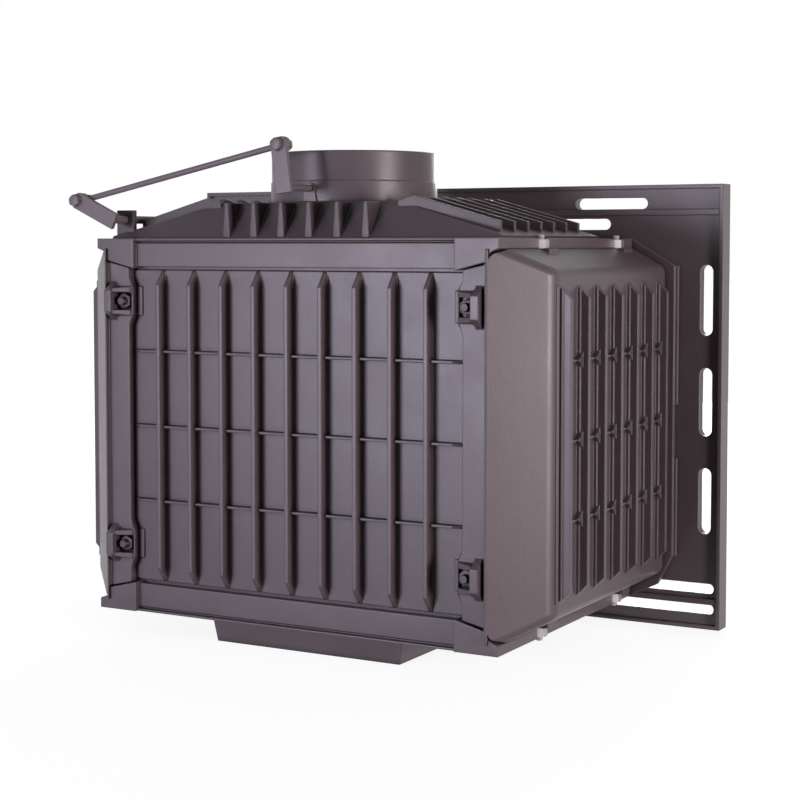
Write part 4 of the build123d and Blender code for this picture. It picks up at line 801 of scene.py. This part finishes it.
def lever_shape(name, root, end, widths, lengths):
    """Flat bar from a shaft to a pivot, its far corners cut, all corners softened."""
    along = Vector((end[0] - root[0], end[1] - root[1]))
    length = along.length
    along /= length
    aside = Vector((-along.y, along.x))
    foot, tip = widths[0] / 2, widths[1] / 2
    far = length + lengths[1]
    cut = tip / 2
    corners = ((-lengths[0], -foot), (far - cut, -tip), (far, cut - tip), (far, tip - cut), (far - cut, tip),
               (-lengths[0], foot))
    outline = [Vector(root) + along * reach + aside * width for reach, width in corners]
    work = bmesh.new()
    prism_y(work, outline, *LEVER_Y)
    return round_edges(piece_of(name, work), THIN_EDGE)


def bar_y(x, z, radius, y0, y1, material):
    """Bmesh of a round bar along Y with chamfered ends."""
    profile = ((0.0, y0), (radius - ROD_END_CHAMFER, y0), (radius, y0 + ROD_END_CHAMFER),
               (radius, y1 - ROD_END_CHAMFER), (radius - ROD_END_CHAMFER, y1), (0.0, y1))
    work = lathe("bar", profile, material, 32)
    for vert in work.verts:
        vert.co = Vector((x + vert.co.x, vert.co.z, z + vert.co.y))
    bmesh.ops.recalc_face_normals(work, faces=work.faces)
    return work


def link_rod_shape():
    """Rod with a flattened, drilled eye at each end and a swelled neck behind each eye."""
    ends = [Vector((x, ROD_Y, z)) for x, z in (CRANK_END, CONTROL_END)]
    run = ends[1] - ends[0]
    length = run.length
    reach = EYE[0] * 0.8
    profile = ((0.0, reach), (NECK[0], reach), (NECK[1], reach + NECK_RUN), (ROD_RADIUS, NECK[2]),
               (ROD_RADIUS, length - NECK[2]), (NECK[1], length - reach - NECK_RUN),
               (NECK[0], length - reach), (0.0, length - reach))
    work = lathe("rod", profile, link_steel, 32)
    turn_to = run.to_track_quat("Z", "Y").to_matrix().to_4x4()
    press = EYE[1] / NECK[0]
    for vert in work.verts:
        if min(vert.co.z, length - vert.co.z) < reach + 0.0045:
            local = turn_to.to_3x3() @ Vector((vert.co.x, vert.co.y, 0))
            local.y *= press
            vert.co = ends[0] + run * (vert.co.z / length) + local
        else:
            vert.co = ends[0] + turn_to.to_3x3() @ vert.co
    soft = ROD_END_CHAMFER
    for end, hole in zip(ends, EYE_HOLES):
        ring = lathe("eye", ((hole, -EYE[1] + soft), (hole + soft, -EYE[1]), (EYE[0] - soft, -EYE[1]),
                             (EYE[0], -EYE[1] + soft), (EYE[0], EYE[1] - soft), (EYE[0] - soft, EYE[1]),
                             (hole + soft, EYE[1]), (hole, EYE[1] - soft)), link_steel, 40, True)
        for vert in ring.verts:
            vert.co = end + Vector((vert.co.x, vert.co.z, vert.co.y))
        carried = bpy.data.meshes.new("eye")
        ring.to_mesh(carried)
        ring.free()
        work.from_mesh(carried)
        bpy.data.meshes.remove(carried)
    bmesh.ops.recalc_face_normals(work, faces=work.faces)
    return work


link_steel = painted_iron("link_steel", LINK_PAINT, 0.45, 0.5, 0.3, 0.1, 1100.0, 0.00006)
inside_iron = painted_iron("inside_iron", (0.07, 0.062, 0.058), 0.72, 0.15, 0.5, 0.5)
settle(lever_shape("crank_made", (0.0, AXLE_Z), CRANK_END, CRANK_WIDTHS, CRANK_LENGTHS), link_steel, "damper",
       "link_steel", "damper_crank")
settle(lever_shape("lever_made", CONTROL_ROOT, CONTROL_END, CONTROL_WIDTHS, CONTROL_LENGTHS), link_steel,
       "damper_control", "link_steel", "control_lever")
settle(crisp(piece_of("link_rod_made", link_rod_shape())), link_steel, "link", "link_steel", "link_rod")
axle_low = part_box("damper_axle")[0][1]
axle = bar_y(0.0, AXLE_Z, AXLE_RADIUS, axle_low, LEVER_SEAT, link_steel)
settle(crisp(piece_of("axle_made", axle)), link_steel, "damper", "link_steel", "damper_axle")
shaft_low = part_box("control_shaft")[0][1]
shaft = bar_y(*CONTROL_ROOT, SHAFT_RADIUS, shaft_low, LEVER_SEAT, link_steel)
settle(crisp(piece_of("shaft_made", shaft)), link_steel, "damper_control", "link_steel", "control_shaft")
for label, spot, body in (("crank", CRANK_END, "damper"), ("control", CONTROL_END, "damper_control")):
    care = (link_steel, body, "link_steel")
    under_head = [(spot[0], LEVER_Y[1], spot[1])]
    shank = LEVER_Y[1] - NUT_REAR + PIVOT_NUT + SHANK_SPARE
    fixed(label + "_bolt_flange", lathe("flange", PIVOT_FLANGE, link_steel), under_head, ALONG_Y, *care,
          label + "_bolt")
    fixed(label + "_bolt_head", hex_body(PIVOT_ACROSS, PIVOT_HEAD, both=False),
          [(spot[0], LEVER_Y[1] + FLANGE_THICK, spot[1])], ALONG_Y, *care, label + "_bolt", wander=0.5)
    fixed(label + "_bolt_shank", threaded_bar(PIVOT_RADIUS, shank, TIE_PITCH), under_head, ALONG_MINUS_Y,
          *care, label + "_bolt")
    fixed(label + "_nut_made", hex_body(PIVOT_ACROSS, PIVOT_NUT, PIVOT_RADIUS - THREAD_DEEP),
          [(spot[0], NUT_REAR - PIVOT_NUT, spot[1])], ALONG_Y, *care, label + "_nut", wander=0.5)

# Damper in the collar: a cast iron flap on the axle, held by two small hex screws through its
# hub.

FLAP_SCREW = (0.007, 0.0028, 0.5555)
FLAP_SCREW_Y = 0.045

finished_copy("damper_flap", THIN_EDGE, inside_iron, "damper", "inside_iron")
fixed("flap_screws_made", hex_body(*FLAP_SCREW[:2], both=False),
      [(0.0, side * FLAP_SCREW_Y, FLAP_SCREW[2]) for side in (-1, 1)], UPRIGHT, bright_steel, "damper",
      "bright_steel", "flap_screws")

# Glazed door: a cast frame with a bevelled window edge, hung on two lift-off hinges. A
# glass-ceramic pane lies on woven tape in its rebate and is held by four spring clips.

DOOR_PAINT = (0.045, 0.042, 0.044)
GLASS_TINT = (0.93, 0.9, 0.85)
GLASS_SOOT = (0.12, 0.1, 0.085)
GLASS_HALF = 0.205
GLASS_LEVELS = (0.128, 0.424)
SOOT_REACH = 0.06
TAPE_COLOR = (0.34, 0.32, 0.29)
CLIP_SCREW = (0.008, 0.0035)
CLIP_SCREW_Y = -0.2395
ROPE_Y = -0.2392
ROPE_RADIUS = 0.0028
ROPE_STRANDS = 4
ROPE_CORNER = 0.012
ROPE_TWIST = 0.03
ROPE_ROOM = 0.001
ROPE_STEP = 0.003


def ceramic_glass():
    """Clear glass-ceramic with a slight tint and a soot haze that thickens towards its edges."""
    material, tree, shader = new_material("door_glass")
    place = add(tree, "ShaderNodeTexCoord").outputs["Object"]
    parts = add(tree, "ShaderNodeSeparateXYZ", {0: place})
    low, high = GLASS_LEVELS
    level = reckon(tree, "SUBTRACT", parts.outputs["Z"], (low + high) / 2)
    masks = [spread_out(tree, reckon(tree, "ABSOLUTE", value), half - SOOT_REACH, half)
             for value, half in ((parts.outputs["X"], GLASS_HALF), (level, (high - low) / 2))]
    rim = reckon(tree, "MAXIMUM", *masks)
    cloud = add(tree, "ShaderNodeTexNoise", {"Vector": place, "Scale": 18.0, "Detail": 6.0})
    amount = weigh(tree, reckon(tree, "MULTIPLY", rim, cloud.outputs["Fac"]), 0.9)
    tree.links.new(blend(tree, amount, GLASS_TINT, GLASS_SOOT), shader.inputs["Base Color"])
    tree.links.new(spread_out(tree, amount, 0.0, 1.0, 0.03, 0.45), shader.inputs["Roughness"])
    shader.inputs["Transmission Weight"].default_value = 1.0
    shader.inputs["IOR"].default_value = 1.52
    return material


def glass_fibre(name, color, scale):
    """Woven glass-fibre: fine crossed threads with grey soiling."""
    material, tree, shader = new_material(name)
    place = add(tree, "ShaderNodeTexCoord").outputs["Object"]
    threads = []
    for way in ("X", "Z"):
        wave = add(tree, "ShaderNodeTexWave", {"Vector": place, "Scale": scale, "Distortion": 1.5,
                                               "Detail": 2.0}, bands_direction=way)
        threads.append(wave.outputs["Fac"])
    weave = reckon(tree, "MAXIMUM", *threads)
    soil = add(tree, "ShaderNodeTexNoise", {"Vector": place, "Scale": 25.0, "Detail": 5.0})
    tone = blend(tree, weave, scaled(color, 0.6), color)
    tree.links.new(blend(tree, weigh(tree, soil.outputs["Fac"], 0.5), tone, scaled(color, 0.35)),
                   shader.inputs["Base Color"])
    shader.inputs["Roughness"].default_value = 0.9
    grained(tree, shader, weave, 0.0003)
    return material


def rope_recipe():
    """Twisted strands along a closed path given as points."""
    sizes = {"Strands": "Int", "Radius": "Float", "Twist": "Float", "Step": "Float", "Material": "Material"}
    tree, given = recipe("twisted_rope", sizes)
    path = add(tree, "GeometryNodeMeshToCurve", {0: given["Points"]})
    fine = add(tree, "GeometryNodeResampleCurve", {"Curve": path.outputs[0], "Length": given["Step"]},
               mode="LENGTH")
    spot = add(tree, "GeometryNodeMeshLine", {"Count": given["Strands"], "Offset": (0.0, 0.0, 0.0)},
               mode="OFFSET")
    copies = add(tree, "GeometryNodeInstanceOnPoints", {"Points": spot.outputs[0],
                                                        "Instance": fine.outputs[0]})
    index = add(tree, "GeometryNodeInputIndex").outputs[0]
    kept = add(tree, "GeometryNodeStoreNamedAttribute",
               {"Geometry": copies.outputs[0], "Name": "strand", "Value": index}, data_type="FLOAT",
               domain="INSTANCE")
    real = add(tree, "GeometryNodeRealizeInstances", {0: kept.outputs[0]})
    strand = add(tree, "GeometryNodeInputNamedAttribute", {"Name": "strand"}, data_type="FLOAT").outputs[0]
    share = reckon(tree, "DIVIDE", strand, given["Strands"])
    along = add(tree, "GeometryNodeSplineParameter").outputs["Length"]
    phase = reckon(tree, "ADD", share, reckon(tree, "DIVIDE", along, given["Twist"]))
    angle = reckon(tree, "MULTIPLY", phase, math.tau)
    tangent = add(tree, "GeometryNodeInputTangent").outputs[0]
    inwards = add(tree, "ShaderNodeVectorMath", {0: tangent, 1: (0.0, 1.0, 0.0)}, operation="CROSS_PRODUCT")
    turn = add(tree, "ShaderNodeVectorRotate", {"Vector": inwards.outputs[0], "Axis": tangent,
                                                "Angle": angle}, rotation_type="AXIS_ANGLE")
    reach = reckon(tree, "MULTIPLY", given["Radius"], 0.5)
    shift = add(tree, "ShaderNodeVectorMath", {0: turn.outputs[0], "Scale": reach}, operation="SCALE")
    spread = add(tree, "GeometryNodeSetPosition", {"Geometry": real.outputs[0], "Offset": shift.outputs[0]})
    thick = reckon(tree, "MULTIPLY", given["Radius"], 0.52)
    round_section = add(tree, "GeometryNodeCurvePrimitiveCircle", {"Resolution": 8, "Radius": thick})
    strands = add(tree, "GeometryNodeCurveToMesh", {0: spread.outputs[0], 1: round_section.outputs[0]})
    return finish_recipe(tree, strands.outputs[0], given["Material"])


def rounded_path(x_half, low, high, y, radius):
    """Closed path round a rectangle with round corners, as a mesh of edges."""
    corners = ((x_half - radius, high - radius, 0), (radius - x_half, high - radius, 90),
               (radius - x_half, low + radius, 180), (x_half - radius, low + radius, 270))
    points = [(x, y, z) for cx, cz, start in corners for x, z in arc((cx, cz), radius, start, start + 90, 6)]
    mesh = bpy.data.meshes.new("path")
    mesh.from_pydata(points, [(i, (i + 1) % len(points)) for i in range(len(points))], [])
    return mesh


door_iron = painted_iron("door_iron", DOOR_PAINT, 0.5, 0.25, 0.3, 0.15, 900.0, 0.00009)
door_glass = ceramic_glass()
rope_fibre = glass_fibre("rope", TAPE_COLOR, 220.0)
finished_copy("door_frame", 0, door_iron, "door", "frame_iron")
finished_copy("door_glass", THIN_EDGE, door_glass, "door", "door_glass")
finished_copy("glass_tape", FINE_EDGE, rope_fibre, "door", "rope")
finished_copy("glass_clips", FINE_EDGE, dark_hardware, "door", "dark_hardware")
finished_copy("hinge_pins", THIN_EDGE, dark_hardware, "insert_body", "dark_hardware")


def island_middles(node):
    """Middle of each separate solid of a CAD node."""
    work = merged(node)
    left = set(work.verts)
    found = []
    while left:
        stack = [left.pop()]
        island = []
        while stack:
            vert = stack.pop()
            island.append(vert.co.copy())
            for edge in vert.link_edges:
                other = edge.other_vert(vert)
                if other in left:
                    left.discard(other)
                    stack.append(other)
        low = Vector([min(co[i] for co in island) for i in range(3)])
        high = Vector([max(co[i] for co in island) for i in range(3)])
        found.append((low + high) / 2)
    work.free()
    return found


fixed("clip_screws_made", hex_body(*CLIP_SCREW, both=False),
      [(spot.x, CLIP_SCREW_Y, spot.z) for spot in island_middles("clip_screws")], ALONG_Y, bright_steel,
      "door", "bright_steel", "clip_screws")
rope_low, rope_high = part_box("door_rope")
rope_in = ROPE_RADIUS + ROPE_ROOM
rope_path = rounded_path(rope_high[0] - rope_in, rope_low[2] + rope_in, rope_high[2] - rope_in, ROPE_Y,
                         ROPE_CORNER)
settle(grow("door_rope_made", rope_recipe(), rope_path, Strands=ROPE_STRANDS, Radius=ROPE_RADIUS,
            Twist=ROPE_TWIST, Step=ROPE_STEP, Material=rope_fibre), rope_fibre, "door", "rope", "door_rope")

# Door handle and latch: a steel shaft through the door carries an arm with a nickel-plated grip
# in front and a cam behind, which turns in behind the catch on the front casting.

GRIP_RADIUS = 0.011
GRIP_GROOVES = 5
GRIP_GROOVE = (0.0009, 0.0012, 0.0003)
GRIP_ROUND = 0.004
GRIP_PLAIN = 0.015
CAM_NUT = (0.013, 0.005)

nickel = plated("grip", (0.5, 0.47, 0.44), 0.3, (0.44, 0.41, 0.38), 150.0, 0.00001)
for node, edge in (("handle_shaft", 0.0005), ("handle_arm", BOLD_EDGE), ("latch_cam", 0.0008)):
    finished_copy(node, edge, dark_hardware, "latch", "dark_hardware")
finished_copy("latch_catch", FINE_EDGE, dark_hardware, "insert_body", "dark_hardware")


def between(low, high, axis):
    return (low[axis] + high[axis]) / 2


def grip_profile(length):
    """Half outline of the grip: rounded ends and turned grooves."""
    soft = GRIP_RADIUS - GRIP_ROUND
    deep, half, flat = GRIP_GROOVE
    outline = arc((soft, GRIP_ROUND), GRIP_ROUND, 270, 360)
    pitch = (length - 2 * GRIP_PLAIN) / (GRIP_GROOVES - 1)
    for number in range(GRIP_GROOVES):
        middle = GRIP_PLAIN + pitch * number
        outline += [(GRIP_RADIUS, middle - half), (GRIP_RADIUS - deep, middle - flat),
                    (GRIP_RADIUS - deep, middle + flat), (GRIP_RADIUS, middle + half)]
    outline += arc((soft, length - GRIP_ROUND), GRIP_ROUND, 0, 90)
    return [(0.0, 0.0)] + outline + [(0.0, length)]


grip_low, grip_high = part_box("handle_grip")
grip = lathe("grip", grip_profile(grip_high[2] - grip_low[2]), nickel, 48)
grip_foot = (between(grip_low, grip_high, 0), between(grip_low, grip_high, 1), grip_low[2])
bmesh.ops.translate(grip, verts=grip.verts, vec=grip_foot)
settle(crisp(piece_of("handle_grip_made", grip)), nickel, "latch", "grip", "handle_grip")
nut_low, nut_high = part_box("cam_nut")
fixed("cam_nut_made", hex_body(*CAM_NUT),
      [(between(nut_low, nut_high, 0), nut_low[1], between(nut_low, nut_high, 2))], ALONG_Y, dark_hardware,
      "latch", "dark_hardware", "cam_nut", wander=0.5)

# Air control: a slotted steel strip between two rails of the door's lower rail, pushed by a
# turned knob.

AIR_KNOB = ((0.0, 0.0), (0.004, 0.0), (0.004, 0.0098), (0.0055, 0.0102), (0.0076, 0.0112), (0.008, 0.0125),
            (0.008, 0.0168), (0.0072, 0.0182), (0.005, 0.019), (0.0, 0.019))

finished_copy("air_slider", FINE_EDGE, dark_hardware, "air_control", "dark_hardware")
knob_low, knob_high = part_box("slider_knob")
fixed("slider_knob_made", lathe("air_knob", AIR_KNOB, nickel, 40),
      [(between(knob_low, knob_high, 0), knob_high[1], between(knob_low, knob_high, 2))], ALONG_MINUS_Y,
      nickel, "air_control", "grip", "slider_knob")

# Damper control on the room side: a nickel-plated knob with a finger wing, held on the shaft by
# a set screw.

KNOB_EDGE = 0.0015
SCREW_EDGE = 0.0003

finished_copy("control_knob", KNOB_EDGE, nickel, "damper_control", "grip")
finished_copy("knob_screw", SCREW_EDGE, dark_hardware, "damper_control", "dark_hardware")

# Ash drawer: a black-enamelled pan folded from sheet, with a cast front and a turned pull, that
# slides in the cast box under the fire room.

ENAMEL = (0.02, 0.02, 0.022)
FRONT_EDGE = 0.001

pan_enamel = painted_iron("pan_steel", ENAMEL, 0.3, 0.3, 0.3, 0.3, 200.0, 0.00004)
finished_copy("ash_pan", THIN_EDGE, pan_enamel, "ash_drawer", "pan_steel")
finished_copy("drawer_front", FRONT_EDGE, door_iron, "ash_drawer", "frame_iron")
finished_copy("drawer_pull", THIN_EDGE, nickel, "ash_drawer", "grip")

# Fire room: boards of pressed vermiculite line the sides and the back, a baffle board hangs
# under the smoke opening, and a cast grate and log bar carry the fire.

BURNT_EDGE = 0.0009
BOARD = (0.36, 0.29, 0.2)
BOARD_FLAKE = (0.52, 0.43, 0.3)
BOARD_SOOT = (0.05, 0.045, 0.04)


def vermiculite():
    """Pressed flakes, blackened by the fire in patches."""
    material, tree, shader = new_material("lining")
    place = add(tree, "ShaderNodeTexCoord").outputs["Object"]
    flake = add(tree, "ShaderNodeTexVoronoi", {"Vector": place, "Scale": 520.0, "Randomness": 1.0})
    cloud = add(tree, "ShaderNodeTexNoise", {"Vector": place, "Scale": 7.0, "Detail": 6.0, "Roughness": 0.6})
    burnt = weigh(tree, spread_out(tree, cloud.outputs["Fac"], 0.42, 0.62), 0.75)
    tone = blend(tree, weigh(tree, flake.outputs["Distance"], 1.4), BOARD_FLAKE, BOARD)
    tree.links.new(blend(tree, burnt, tone, BOARD_SOOT), shader.inputs["Base Color"])
    shader.inputs["Roughness"].default_value = 0.92
    grained(tree, shader, flake.outputs["Distance"], 0.0003)
    return material


lining = vermiculite()
for node in ("back_lining", "side_lining_left", "side_lining_right", "baffle_plate"):
    finished_copy(node, BOLD_EDGE, lining, "insert_body", "lining")
for node in ("grate", "log_bar"):
    finished_copy(node, BURNT_EDGE, inside_iron, "insert_body", "inside_iron")
